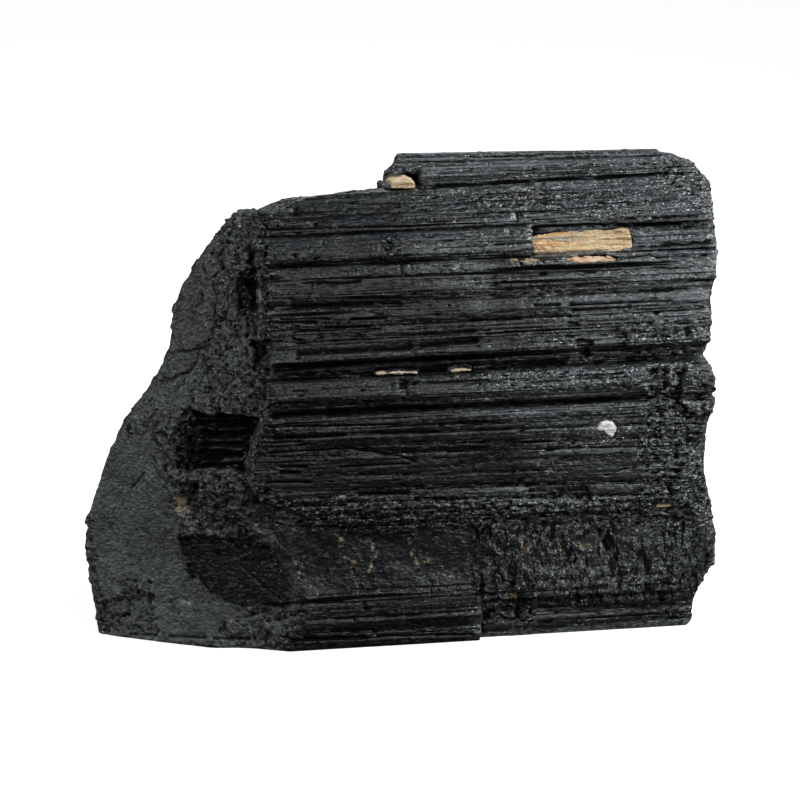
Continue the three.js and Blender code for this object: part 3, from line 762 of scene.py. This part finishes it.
for poly, factor in CALM:
    calm = np.maximum(calm, inside(uw, vw, poly, 6) * seen)
rough *= 1 - 0.65 * calm
lower = inside(uw, vw, CALM[3][0], 8) * seen
# painted shade: this relief darkens the colour in hollows, and pales edges and ridges, in the material below
attribute(crystal, "hollow", relief(crystal, PV, NV) * (0.55 + 0.45 * ribbed) * (1 - 0.35 * lower))
attribute(crystal, "broken", 1 - ribbed)
attribute(crystal, "rough", np.clip(rough, 0, 1))
GLINT = [
    ([(648, 366), (716, 364), (714, 430), (708, 532), (646, 530)], 1.0),
    ([(655, 152), (690, 160), (712, 182), (712, 220), (690, 200), (655, 172)], 0.6),
    ([(280, 503), (520, 501), (520, 528), (280, 530)], 0.7),
    ([(520, 502), (650, 500), (650, 528), (520, 530)], 0.9),
    ([(470, 190), (552, 188), (552, 206), (470, 207)], 0.5),
    ([(630, 325), (711, 322), (711, 350), (630, 352)], 0.7),
    ([(490, 372), (640, 370), (640, 386), (490, 388)], 0.6),
]
glint = np.zeros(len(PV))
for poly, amount in GLINT:
    glint = np.maximum(glint, amount * inside(uw, vw, poly, 8) * seen)
attribute(crystal, "glint", glint)
attribute(crystal, "fibre", inside(uw, vw, FIBRE, 8) * seen)
# painted light with dust: the ribbed faces go from clean black to dusty grey, cleaner in the middle, paler to the right
# and towards the top where the light falls
DUST_AND_LIGHT_PATCHES = [
    ([(262, 296), (450, 296), (480, 330), (470, 362), (262, 364)], -0.34),
    ([(262, 425), (500, 420), (520, 480), (262, 500)], -0.18),
    ([(480, 436), (590, 432), (590, 470), (480, 474)], -0.22),
    ([(283, 574), (480, 574), (480, 648), (283, 650)], -0.25),
    ([(262, 195), (400, 192), (400, 262), (262, 264)], -0.16),
    ([(275, 360), (470, 358), (470, 380), (275, 382)], -0.15),
    ([(620, 325), (715, 320), (715, 430), (630, 430)], 0.30),
    ([(640, 430), (715, 430), (712, 530), (640, 530)], 0.40),
    ([(630, 160), (715, 160), (715, 260), (640, 260)], 0.32),
    ([(480, 606), (692, 602), (692, 632), (480, 636)], 0.80),
    ([(540, 372), (660, 368), (660, 400), (540, 402)], 0.10),
    ([(500, 266), (640, 262), (640, 345), (500, 345)], -0.30),
    ([(286, 530), (470, 530), (480, 560), (480, 600), (286, 602)], -0.22),
    ([(420, 150), (620, 150), (620, 215), (420, 225)], -0.10),
]
dust_and_light_tone = 0.04 + 0.84 * step01(PV[:, 0], -36, 70) + 0.14 * step01(PV[:, 2], 78, 102)
for poly, amount in DUST_AND_LIGHT_PATCHES:
    dust_and_light_tone = dust_and_light_tone + amount * inside(uw, vw, poly, 16) * seen
attribute(crystal, "dust_and_light_tone", np.clip(dust_and_light_tone, 0, 1))
fade = inside(uw, vw, CALM[2][0], 10) * seen
dust = (1 - ribbed) * (0.38 + 0.62 * left)
flake = inside(uw, vw, CALM[1][0], 6) * seen
dust = np.maximum(dust, calm * (1 - 0.75 * lower)) * (1 - 0.95 * fade) * (1 - 0.65 * flake) * (1 - 0.6 * lower)
attribute(crystal, "calm", np.clip(calm - 0.6 * lower, 0, 1))
attribute(crystal, "dust", np.clip(dust, 0, 1))
# painted shade: the wall of the hollow and the dark window in the break join the darkened recess
wall = inside(uw, vw, [(236, 474), (238, 440), (254, 416), (268, 420), (263, 452), (250, 478)], 4) * seen
window = inside(uw, vw, PUSH[-1][0], 2) * seen
attribute(crystal, "inner", np.maximum(np.maximum(inner * 0.95, wall * 0.6), window * 0.9))

TAN_LINES = [
    (2.3, 0.95, [(337, 531), (339, 545), (346, 556), (352, 568)]), (2.2, 0.95, [(372, 540), (374, 556), (370, 572)]),
    (2.0, 0.85, [(370, 572), (358, 562), (352, 568)]), (2.2, 0.95, [(410, 538), (413, 552), (419, 568)]),
    (1.9, 0.85, [(424, 562), (436, 554)]), (1.8, 0.7, [(306, 576), (312, 570)]),
    (2.2, 0.75, [(227, 527), (223, 536), (221, 544)]), (2.2, 0.85, [(443, 573), (458, 581)]),
    (2.4, 0.95, [(291, 558), (299, 572), (296, 590)]), (1.8, 0.8, [(299, 572), (306, 562)]),
    (2.2, 0.8, [(229, 610), (231, 622), (228, 632)]), (1.9, 0.75, [(404, 556), (412, 552)]),
    (3.4, 0.95, [(522, 532), (526, 548)]), (3.0, 0.75, [(534, 538), (546, 542)]), (2.6, 0.75, [(556, 538), (560, 552)]),
    (3.0, 0.75, [(574, 545), (590, 548)]), (2.6, 0.7, [(600, 540), (604, 556)]), (2.6, 0.65, [(622, 532), (640, 538)]),
    (2.6, 0.6, [(560, 562), (572, 570)]), (2.4, 0.6, [(530, 560), (534, 574)]),
    (4.2, 0.8, [(488, 598), (498, 608)]), (3.0, 0.7, [(506, 594), (516, 598)]),
    (6.0, 2.0, [(180, 502), (185, 508)]),
    (1.4, 0.55, [(475, 484), (510, 483.4), (550, 483)]), (1.7, 0.65, [(240, 215), (239, 228)]),
    (1.7, 0.95, [(341, 360), (345, 360)]), (2.2, 0.65, [(205, 532), (220, 529), (235, 530)]),
    (2.2, 0.60, [(248, 536), (262, 543)]), (2.0, 0.62, [(268, 548), (276, 560)]), (2.0, 0.6, [(318, 545), (328, 552)]),
    (2.4, 1.15, [(512, 261.5), (524, 261), (536, 260)]),
]
# pale lines: partly pale grains and streaks, partly painted highlights: single sparkles and the lit top edges of
# columns
PALE_LINES = [
    (5.5, 0.50, [(183, 510), (188, 522), (192, 534)]), (1.6, 0.55, [(190, 516), (193, 524)]), (3.0, 0.6, [(181, 602), (190, 604)]),
    (2.8, 0.6, [(183, 613), (190, 615)]), (2.0, 1.6, [(258.5, 291), (258.5, 301)]), (1.2, 1.0, [(228, 413), (229, 413)]),
    (1.2, 1.0, [(199, 416), (200, 416)]), (1.3, 0.7, [(240, 215), (239, 228)]), (1.1, 0.9, [(340, 497), (346, 497)]),
    (2.6, 0.45, [(579, 346), (582, 354)]), (1.2, 0.45, [(605, 340), (622, 337), (630, 340)]),
    (1.0, 0.35, [(273, 358), (281, 362.5), (300, 362), (330, 359), (370, 354.5), (430, 351.5), (475, 347)]),
    (1.0, 0.40, [(655, 369), (680, 366), (700, 366)]), (1.1, 0.5, [(340, 376), (363, 376)]),
]
tan = line_field(*ragged(u, v, 3.2), TAN_LINES, 0.78) * seen
attribute(crystal, "tan", tan)
attribute(crystal, "pale", line_field(u, v, PALE_LINES) * seen)

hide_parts("crystal")
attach(crystal, "root")


# ---------------------------------------------------------------------------
# Materials
# ---------------------------------------------------------------------------
class Nodes:
    def __init__(self, name):
        self.mat = bpy.data.materials.new(name)
        self.mat.use_nodes = True
        self.tree = self.mat.node_tree
        self.bsdf = self.tree.nodes["Principled BSDF"]
        self.coord = self.tree.nodes.new("ShaderNodeTexCoord").outputs["Object"]

    def link(self, a, b):
        self.tree.links.new(a, b)

    def set(self, socket, value):
        if hasattr(value, "is_output"):
            self.link(value, socket)
        else:
            socket.default_value = value

    def attr(self, name):
        n = self.tree.nodes.new("ShaderNodeAttribute")
        n.attribute_name = name
        return n.outputs["Fac"]

    def noise(self, scale, stretch=(1, 1, 1), detail=3.0, rough=0.55, offset=0.0, twist=0.0):
        m = self.tree.nodes.new("ShaderNodeMapping")
        m.inputs["Scale"].default_value = stretch
        m.inputs["Location"].default_value = (offset, offset * 0.7, offset * 1.3)
        self.link(self.coord, m.inputs["Vector"])
        n = self.tree.nodes.new("ShaderNodeTexNoise")
        n.inputs["Scale"].default_value = scale
        n.inputs["Detail"].default_value = detail
        n.inputs["Roughness"].default_value = rough
        n.inputs["Distortion"].default_value = twist
        self.link(m.outputs["Vector"], n.inputs["Vector"])
        return n.outputs["Fac"]

    def voronoi(self, scale, feature="F1", output="Distance", offset=0.0):
        m = self.tree.nodes.new("ShaderNodeMapping")
        m.inputs["Location"].default_value = (offset, offset, offset)
        self.link(self.coord, m.inputs["Vector"])
        n = self.tree.nodes.new("ShaderNodeTexVoronoi")
        n.feature = feature
        n.inputs["Scale"].default_value = scale
        self.link(m.outputs["Vector"], n.inputs["Vector"])
        return n.outputs[output]

    def math(self, op, a, b=0.0, clamp=False):
        n = self.tree.nodes.new("ShaderNodeMath")
        n.operation = op
        n.use_clamp = clamp
        self.set(n.inputs[0], a)
        self.set(n.inputs[1], b)
        return n.outputs[0]

    def ramp(self, fac, a, b, c=0.0, d=1.0):
        n = self.tree.nodes.new("ShaderNodeMapRange")
        n.clamp = True
        n.interpolation_type = "SMOOTHSTEP"
        self.set(n.inputs["Value"], fac)
        n.inputs["From Min"].default_value = a
        n.inputs["From Max"].default_value = b
        n.inputs["To Min"].default_value = c
        n.inputs["To Max"].default_value = d
        return n.outputs["Result"]

    def mix(self, fac, a, b):
        n = self.tree.nodes.new("ShaderNodeMix")
        n.data_type = "RGBA"
        self.set(n.inputs["Factor"], fac)
        self.set(n.inputs["A"], a)
        self.set(n.inputs["B"], b)
        for s in n.inputs:
            if s.type == "RGBA" and s.name in ("A", "B"):
                self.set(s, a if s.name == "A" else b)
        for s in n.inputs:
            if s.type == "VALUE" and s.name == "Factor":
                self.set(s, fac)
        return [s for s in n.outputs if s.type == "RGBA"][0]

    def lerp(self, fac, a, b):
        n = self.tree.nodes.new("ShaderNodeMix")
        n.data_type = "FLOAT"
        self.set(n.inputs[0], fac)
        self.set(n.inputs[2], a)
        self.set(n.inputs[3], b)
        return n.outputs[0]

    def vec(self, op, a, b):
        n = self.tree.nodes.new("ShaderNodeVectorMath")
        n.operation = op
        self.set(n.inputs[0], a)
        self.set(n.inputs[1], b)
        return n.outputs["Value"] if op == "DOT_PRODUCT" else n.outputs["Vector"]

    def flakes(self, scale, stretch=(1, 1, 1), offset=0.0):
        """Height in metres of small flat pieces, each tilted its own way, slope up to about 1."""
        m = self.tree.nodes.new("ShaderNodeMapping")
        m.inputs["Scale"].default_value = stretch
        m.inputs["Location"].default_value = (offset, offset, offset)
        self.link(self.coord, m.inputs["Vector"])
        n = self.tree.nodes.new("ShaderNodeTexVoronoi")
        n.inputs["Scale"].default_value = scale
        self.link(m.outputs["Vector"], n.inputs["Vector"])
        inside = self.vec("SUBTRACT", m.outputs["Vector"], n.outputs["Position"])
        tilt = self.vec("SUBTRACT", n.outputs["Color"], (0.5, 0.5, 0.5))
        return self.vec("DOT_PRODUCT", inside, tilt)

    def bump(self, height, strength, distance, normal=None):
        n = self.tree.nodes.new("ShaderNodeBump")
        n.inputs["Strength"].default_value = strength
        n.inputs["Distance"].default_value = distance
        self.link(height, n.inputs["Height"])
        if normal is not None:
            self.link(normal, n.inputs["Normal"])
        return n.outputs["Normal"]


def rgb(r, g, b):
    return (r, g, b, 1.0)


def black_tourmaline():
    m = Nodes("black_tourmaline")
    broken, rough, fibre, dust, inner, tan = (m.attr(k) for k in ("broken", "rough", "fibre", "dust", "inner", "tan"))
    streak = m.noise(420, (0.03, 1, 1), 3, 0.62)
    fine = m.noise(1300, (0.02, 1, 1), 2, 0.55, 0.3)
    speck = m.noise(1100, (0.8, 1, 1), 2.5, 0.65, 0.7)
    cloud = m.noise(90, (0.4, 1, 1), 3, 0.5, 1.7)
    gather = m.ramp(m.noise(230, (0.45, 1, 1), 4, 0.65, 6.0), 0.44, 0.64)
    dust_and_light_tone = m.attr("dust_and_light_tone")
    column = m.math("SUBTRACT", 1.0, broken)
    worth = m.math("MAXIMUM", m.ramp(dust_and_light_tone, 0.0, 0.55), dust)
    lively = m.math("MULTIPLY", m.ramp(m.attr("calm"), 0.0, 1.0, 0.60, 0.10), m.ramp(worth, 0.0, 1.0, 0.50, 1.0))
    lively = m.math("MAXIMUM", rough, m.math("MULTIPLY", gather, lively))
    hollow = m.attr("hollow")

    # thin open cracks: along the columns, and short ones in the breaks
    crack = m.math("MULTIPLY", m.ramp(m.noise(620, (0.022, 1, 1), 2, 0.5, 3.3), 0.365, 0.315), column)
    pore = m.math("MULTIPLY", m.ramp(m.noise(1000, (0.6, 1, 1), 1.5, 0.5, 7.7), 0.34, 0.29), lively)
    weave = m.noise(560, (1, 1, 0.30), 2, 0.55, 8.0, 1.1)
    gap = m.math("MULTIPLY", m.ramp(weave, 0.47, 0.39, 0.0, 0.92), fibre)
    # painted shade mask: hollows, cracks, pores and fibre gaps, darkened to near black in the colour below
    deep = m.math("MAXIMUM", m.ramp(hollow, 0.06, 0.60, 0.0, 0.97), m.math("MAXIMUM", crack, m.math("MAXIMUM", pore, gap)))

    # colour: black, with finer dark lines along the columns, grey dust on the breaks, painted glints as pale specks,
    # paler edges, painted shade in hollows and cracks
    dark = m.math("MULTIPLY", m.ramp(streak, 0.36, 0.64, 0.28, 1.0), m.ramp(fine, 0.34, 0.66, 0.55, 1.15))
    clean = m.mix(dark, rgb(0.0018, 0.0022, 0.0030), rgb(0.0105, 0.0118, 0.0138))
    dusty = m.mix(m.math("MULTIPLY", dark, m.ramp(speck, 0.3, 0.65, 0.40, 1.15)), rgb(0.006, 0.0066, 0.0076),
                  rgb(0.052, 0.0555, 0.0585))
    # painted light: the tone mixes clean black towards dusty grey, paler to the right and towards the top
    base = m.mix(m.math("MULTIPLY", dust_and_light_tone, m.ramp(cloud, 0.3, 0.7, 0.55, 1.15)), clean, dusty)
    grey = m.mix(m.lerp(m.attr("calm"), m.ramp(speck, 0.34, 0.70), m.ramp(speck, 0.24, 0.76, 0.36, 1.08)),
                 rgb(0.015, 0.0162, 0.0178), rgb(0.122, 0.128, 0.130))
    col = m.mix(m.math("MULTIPLY", dust, m.ramp(cloud, 0.3, 0.7, 0.65, 1.0)), base, grey)
    # paler grey specks on edges and ridges, more where the tone is paler
    pale_edges = m.math("MULTIPLY", m.ramp(hollow, -0.20, -0.80), m.ramp(speck, 0.40, 0.58))
    pale_edges = m.math("MULTIPLY", pale_edges, m.ramp(worth, 0.0, 1.0, 0.35, 1.0))
    col = m.mix(m.math("MULTIPLY", pale_edges, 0.75), col, rgb(0.130, 0.136, 0.139))
    brown = m.ramp(m.noise(140, (0.25, 1, 1), 3, 0.5, 4.0), 0.56, 0.76, 0.0, 0.40)
    col = m.mix(brown, col, rgb(0.024, 0.0220, 0.0175))
    # painted highlights: pale dots in the base colour stand in for glints
    glint = m.attr("glint")
    painted_glints = m.math("ADD", m.noise(1900, (0.7, 1, 1), 1, 0.5, 5.0), m.math("MULTIPLY", glint, 0.055))
    painted_glints = m.ramp(painted_glints, 0.60, 0.70)
    painted_glints = m.math("MULTIPLY", painted_glints, m.math("MULTIPLY", m.math("MAXIMUM", lively, glint), m.ramp(speck, 0.38, 0.58)))
    col = m.mix(m.math("MULTIPLY", painted_glints, 0.85), col, rgb(0.36, 0.37, 0.37))
    # painted shade: hollows, cracks, pores and fibre gaps near black
    col = m.mix(deep, col, rgb(0.0012, 0.0014, 0.0018))
    # painted shade in the recess, its wall and the window
    col = m.mix(m.math("MULTIPLY", inner, 0.7), col, rgb(0.004, 0.0044, 0.0054))
    wander = m.math("SUBTRACT", m.noise(950, (1, 1, 0.6), 3, 0.65, 9.0), 0.5)
    stain = m.ramp(m.math("ADD", tan, m.math("MULTIPLY", wander, 2.1)), 0.54, 0.80)
    beside = m.math("MULTIPLY", m.ramp(tan, 0.03, 0.45, 0.0, 0.75), m.ramp(m.noise(1500, (1, 1, 0.7), 1, 0.5, 12.0), 0.56, 0.66))
    stain = m.math("MAXIMUM", stain, beside)
    col = m.mix(m.math("MULTIPLY", stain, m.ramp(speck, 0.34, 0.56, 0.30, 1.0)), col, rgb(0.37, 0.275, 0.17))
    # pale streaks and grains, with painted highlights on some column edges and sparkles
    pale_marks_and_highlights = m.ramp(m.math("ADD", m.attr("pale"), m.math("MULTIPLY", wander, 1.4)), 0.25, 0.85)
    col = m.mix(m.math("MULTIPLY", pale_marks_and_highlights, m.ramp(speck, 0.30, 0.56, 0.25, 1.0)), col, rgb(0.42, 0.42, 0.39))
    m.link(col, m.bsdf.inputs["Base Color"])

    # gloss: bright columns, duller breaks, here and there a cleavage that flashes; cracks swallow the light
    bright = m.voronoi(1700, output="Color", offset=0.2)
    flash = m.ramp(bright, 0.68, 0.82)
    dull = m.lerp(dust, m.ramp(speck, 0.3, 0.7, 0.24, 0.42), m.ramp(speck, 0.3, 0.7, 0.44, 0.66))
    dull = m.lerp(fibre, dull, 0.27)
    gloss = m.lerp(broken, m.ramp(streak, 0.3, 0.7, 0.20, 0.38), dull)
    gloss = m.lerp(m.math("MULTIPLY", flash, m.math("MULTIPLY", m.math("MAXIMUM", lively, glint), 0.9)), gloss, 0.13)
    gloss = m.lerp(m.math("MULTIPLY", inner, 0.8), gloss, 0.16)
    gloss = m.lerp(deep, gloss, 0.55)
    m.link(gloss, m.bsdf.inputs["Roughness"])
    m.link(m.lerp(deep, m.ramp(worth, 0.0, 1.0, 0.24, 0.54), 0.02), m.bsdf.inputs["Specular IOR Level"])
    m.bsdf.inputs["IOR"].default_value = 1.63

    # fine relief
    lines = m.math("MULTIPLY", m.math("ADD", fine, m.math("MULTIPLY", streak, 1.4)), column)
    lines = m.math("SUBTRACT", lines, m.math("MULTIPLY", crack, 0.25))
    flakes = m.math("ADD", m.flakes(1300, (0.6, 1, 1)), m.math("MULTIPLY", m.flakes(2300, (0.75, 1, 1), 0.4), 0.8))
    threads = m.math("MULTIPLY", weave, m.math("MULTIPLY", fibre, 2.2))
    grains = m.math("MULTIPLY", m.noise(1500, (0.7, 1, 1), 1, 0.5, 2.2),
                    m.math("MULTIPLY", m.lerp(rough, 0.46, 0.9), m.ramp(m.attr("calm"), 0.0, 1.0, 1.0, 1.35)))
    n1 = m.bump(lines, 0.6, 0.00046)
    n2 = m.bump(m.math("ADD", grains, threads), 0.9, 0.00062, n1)
    n3 = m.bump(m.math("MULTIPLY", flakes, m.lerp(lively, 0.12, 1.0)), 1.0, 0.80, n2)
    m.link(n3, m.bsdf.inputs["Normal"])
    return m.mat


def mineral(name, dark, mid, light, stretch, scale, roughness):
    m = Nodes(name)
    a = m.noise(scale, stretch, 4, 0.6)
    b = m.noise(scale * 3.1, (1, 1, 1), 3, 0.6, 3.0)
    col = m.mix(m.ramp(a, 0.30, 0.5), rgb(*dark), rgb(*mid))
    col = m.mix(m.ramp(m.noise(scale * 0.8, stretch, 3, 0.55, 7.0), 0.5, 0.68), col, rgb(*light))
    col = m.mix(m.ramp(b, 0.58, 0.8, 0, 0.6), col, rgb(*dark))
    m.link(col, m.bsdf.inputs["Base Color"])
    m.link(m.ramp(b, 0.3, 0.7, roughness - 0.08, roughness + 0.12), m.bsdf.inputs["Roughness"])
    m.bsdf.inputs["IOR"].default_value = 1.53
    m.link(m.bump(m.math("ADD", a, b), 0.5, 0.0004), m.bsdf.inputs["Normal"])
    return m.mat


def tan_panel():
    m = Nodes("tan_feldspar")
    split = m.tree.nodes.new("ShaderNodeSeparateXYZ")
    m.link(m.coord, split.inputs[0])
    along = m.ramp(split.outputs["X"], 0.030, 0.050)
    up = m.ramp(split.outputs["Z"], 0.0878, 0.0916)
    chip = m.ramp(split.outputs["X"], 0.018, 0.010)
    band = m.noise(560, (0.05, 1, 1), 3, 0.6)
    thin = m.noise(1500, (0.05, 1, 1), 2, 0.55, 2.0)
    blot = m.noise(620, (0.5, 1, 1), 3, 0.6, 5.0)
    sand = m.noise(1800, (0.8, 1, 1), 1.5, 0.5, 8.0)
    col = m.mix(m.ramp(band, 0.40, 0.58), rgb(0.55, 0.25, 0.065), rgb(0.70, 0.46, 0.20))
    col = m.mix(m.math("MULTIPLY", along, m.ramp(blot, 0.36, 0.56, 0.45, 1.0)), col, rgb(0.66, 0.47, 0.26))
    col = m.mix(m.ramp(blot, 0.54, 0.66, 0, 0.9), col, rgb(0.82, 0.66, 0.42))
    grey = m.math("MULTIPLY", m.ramp(m.noise(640, (0.10, 1, 1), 2, 0.6, 11.0), 0.46, 0.56),
                  m.math("MULTIPLY", up, m.ramp(along, 0.10, 0.70, 1.0, 0.12)))
    col = m.mix(m.math("MULTIPLY", grey, 0.8), col, rgb(0.22, 0.225, 0.20))
    col = m.mix(m.ramp(thin, 0.57, 0.66, 0, 0.85), col, rgb(0.20, 0.095, 0.030))
    col = m.mix(m.ramp(sand, 0.62, 0.74, 0, 0.7), col, rgb(0.86, 0.74, 0.54))
    rim = m.math("MULTIPLY", m.ramp(m.noise(900, (0.035, 1, 1), 2, 0.55, 14.0), 0.47, 0.55),
                 m.ramp(split.outputs["Z"], 0.0908, 0.0932))
    col = m.mix(m.math("MULTIPLY", rim, 0.95), col, rgb(0.020, 0.019, 0.018))
    pale = m.mix(m.ramp(blot, 0.36, 0.62), rgb(0.52, 0.35, 0.19), rgb(0.74, 0.55, 0.35))
    col = m.mix(chip, col, pale)
    m.link(col, m.bsdf.inputs["Base Color"])
    m.link(m.ramp(blot, 0.3, 0.7, 0.34, 0.58), m.bsdf.inputs["Roughness"])
    m.bsdf.inputs["IOR"].default_value = 1.53
    height = m.math("ADD", m.math("ADD", thin, m.math("MULTIPLY", band, 0.8)), m.math("MULTIPLY", sand, 0.7))
    m.link(m.bump(height, 0.8, 0.00042), m.bsdf.inputs["Normal"])
    return m.mat


crystal.data.materials.clear()
crystal.data.materials.append(black_tourmaline())

TAN = tan_panel()
PINK = mineral("pink_feldspar", (0.22, 0.11, 0.06), (0.68, 0.42, 0.26), (0.86, 0.67, 0.50), (0.4, 1, 1), 900, 0.5)
CREAM = mineral("cream_feldspar", (0.26, 0.16, 0.09), (0.66, 0.50, 0.34), (0.80, 0.70, 0.56), (0.4, 1, 1), 900, 0.5)
WHITE = mineral("white_quartz", (0.78, 0.73, 0.68), (0.95, 0.93, 0.90), (0.98, 0.97, 0.95), (1, 1, 1), 900, 0.45)
OCHRE = mineral("ochre", (0.50, 0.33, 0.12), (0.82, 0.62, 0.31), (0.92, 0.79, 0.52), (0.3, 1, 1), 900, 0.55)

# node, material, slot, roughness of the face in mm, swell in the bed, change of size, shift in mm, ragged rim in mm
GRAINS = [
    ("feldspar_seam", TAN, "tan_feldspar", 0.08, 0.30, (1, 1, 1.20), (0, -0.35, -1.15), 0.6),
    ("feldspar_seam_lower", PINK, "pink_feldspar", 0.24, 0.25, (1, 1, 0.95), (0, 0.0, -0.1), 0.55),
    ("feldspar_chip", TAN, "tan_feldspar", 0.07, 0.10, (0.86, 1, 0.92), (0.9, 0.9, -0.1), 0.35),
    ("feldspar_sliver_left", CREAM, "cream_feldspar", 0.16, 0.05, (1.0, 1, 0.42), (0, 0.1, -0.30), 0.26),
    ("feldspar_sliver_right", CREAM, "cream_feldspar", 0.16, 0.05, (1.0, 1, 0.52), (0, 0.05, -0.6), 0.26),
    ("white_grain", WHITE, "white_quartz", 0.14, 0.25, (1, 1, 1), (0, 0.3, 0), 0.4),
    ("ochre_fleck", OCHRE, "ochre", 0.05, 0.10, (1.0, 1, 2.2), (0, -0.95, 0.40), 0.15),
]
for k, (node, mat, slot, amount, swell, size, shift, ragged) in enumerate(GRAINS):
    gc, gt = mesh_arrays(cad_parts[node])
    mid = 0.5 * (gc.min(0) + gc.max(0))
    gp, gq = remesh((gc - mid) * np.array(size) + mid + np.array(shift), gt, 0.14, 0.7)
    gn = normals_of(gp, gq)
    if (gn * (gp - gp.mean(0))).sum() < 0:
        gq, gn = gq[:, ::-1], -gn
    mean = neighbours(gq, len(gp))
    for _ in range(3):
        gp = 0.5 * gp + 0.5 * mean(gp)
    fx, _ = facets(gp / np.array([2.6, 1.1, 1.1]), 300 + k, 1.0)
    disp = amount * (1.5 * fx + 1.0 * fbm(gp / np.array([1.8, 0.7, 0.7]), 3, 310 + k))
    front = step01(-gn[:, 1], 0.2, 0.6)
    torn = 0.55 * perlin(gp / np.array([1.7, 3.0, 1.0]), 330 + k) + 0.35 * perlin(gp / np.array([0.8, 3.0, 0.5]), 340 + k)
    gp = gp + gn * (disp + (swell + ragged * torn) * (1 - front))[:, None]
    for _ in range(1):
        gp = 0.6 * gp + 0.4 * mean(gp)
    if node == "feldspar_seam":
        # broken off square at its right end
        end = step01(gp[:, 0], gp[:, 0].max() - 4.5, gp[:, 0].max() - 0.8)
        gp[:, 2] += 0.30 * end * (gp[:, 2] - mid[2] - shift[2])
    ob = make_object(node + "_surface", gp, gq)
    thin_out(ob, 12000)
    shade(ob, 40)
    ob.data.materials.append(mat)
    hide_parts(node)
    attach(ob, "root")


# ---------------------------------------------------------------------------
# Floor, light, camera
# ---------------------------------------------------------------------------
def stage_material():
    m = Nodes("pale_floor")
    m.bsdf.inputs["Base Color"].default_value = rgb(0.86, 0.86, 0.86)
    m.bsdf.inputs["Roughness"].default_value = 0.75
    m.bsdf.inputs["Emission Color"].default_value = rgb(1, 1, 1)
    m.bsdf.inputs["Emission Strength"].default_value = 0.72
    return m.mat


def backdrop():
    """Round floor that curves up into a wall on all sides."""
    prof = [(0.0, 0.0), (0.45, 0.0), (0.95, 0.0)]
    for i in range(1, 13):
        a = math.pi / 2 * i / 12
        prof.append((0.95 + 0.5 * math.sin(a), 0.5 - 0.5 * math.cos(a)))
    prof.append((1.45, 2.4))
    turns = 96
    pts, faces = [(0.0, 0.0, 0.0)], []
    for r, z in prof[1:]:
        for k in range(turns):
            a = 2 * math.pi * k / turns
            pts.append((r * math.cos(a), r * math.sin(a), z))
    for k in range(turns):
        faces.append((0, 1 + k, 1 + (k + 1) % turns))
    for i in range(len(prof) - 2):
        for k in range(turns):
            n = (k + 1) % turns
            a, b = 1 + i * turns, 1 + (i + 1) * turns
            faces.append((a + k, b + k, b + n, a + n))
    me = bpy.data.meshes.new("floor")
    me.from_pydata(pts, [], faces)
    me.polygons.foreach_set("use_smooth", [True] * len(faces))
    ob = bpy.data.objects.new("floor", me)
    bpy.context.scene.collection.objects.link(ob)
    me.materials.append(stage_material())
    ob.visible_glossy = False
    ob.visible_diffuse = False
    ob.visible_shadow = False


backdrop()


def area(name, pos, aim, size, power, colour=(0.935, 0.98, 1.0)):
    from mathutils import Vector
    li = bpy.data.lights.new(name, "AREA")
    li.shape = "RECTANGLE"
    li.size, li.size_y = size
    li.energy = power
    li.color = colour
    ob = bpy.data.objects.new(name, li)
    ob.location = pos
    ob.rotation_euler = (Vector(aim) - Vector(pos)).to_track_quat("-Z", "Y").to_euler()
    bpy.context.scene.collection.objects.link(ob)


area("key", (0.42, -0.18, 0.62), (0, 0, 0.05), (0.16, 0.16), 2.6)
area("front", (0.25, -0.95, 0.40), (0, 0, 0.05), (0.25, 0.25), 1.35)
area("back", (0.10, 0.90, 0.60), (0, 0, 0.05), (0.40, 0.40), 1.2)
area("front_high", (0.10, -0.60, 0.75), (0, 0, 0.05), (0.20, 0.20), 1.6)
area("right_high", (0.60, 0.10, 0.60), (0, 0, 0.05), (0.18, 0.18), 2.4)
area("right", (0.75, -0.50, 0.22), (0, 0, 0.05), (0.20, 0.20), 2.8)
area("left", (-0.70, -0.50, 0.42), (0, 0, 0.05), (0.25, 0.25), 1.3)
area("left_back", (-0.80, 0.20, 0.50), (0, 0, 0.05), (0.30, 0.30), 2.6)

world = bpy.data.worlds.new("studio")
bpy.context.scene.world = world
world.use_nodes = True
bg = world.node_tree.nodes["Background"]
bg.inputs["Color"].default_value = (1, 1, 1, 1)
bg.inputs["Strength"].default_value = 0.02

cam = bpy.data.cameras.new("camera")
cam.lens = LENS
cam.sensor_width = SENSOR
cam.sensor_fit = "HORIZONTAL"
cam.clip_start = 0.05
cam_ob = bpy.data.objects.new("camera", cam)
bpy.context.scene.collection.objects.link(cam_ob)
from mathutils import Matrix
eye = (EYE + OFF) / 1000.0
cam_ob.matrix_world = Matrix((
    (V_RIGHT[0], V_UP[0], V_BACK[0], eye[0]),
    (V_RIGHT[1], V_UP[1], V_BACK[1], eye[1]),
    (V_RIGHT[2], V_UP[2], V_BACK[2], eye[2]),
    (0, 0, 0, 1)))
bpy.context.scene.camera = cam_ob
bpy.context.scene.view_settings.view_transform = "Standard"
bpy.context.scene.view_settings.look = "None"
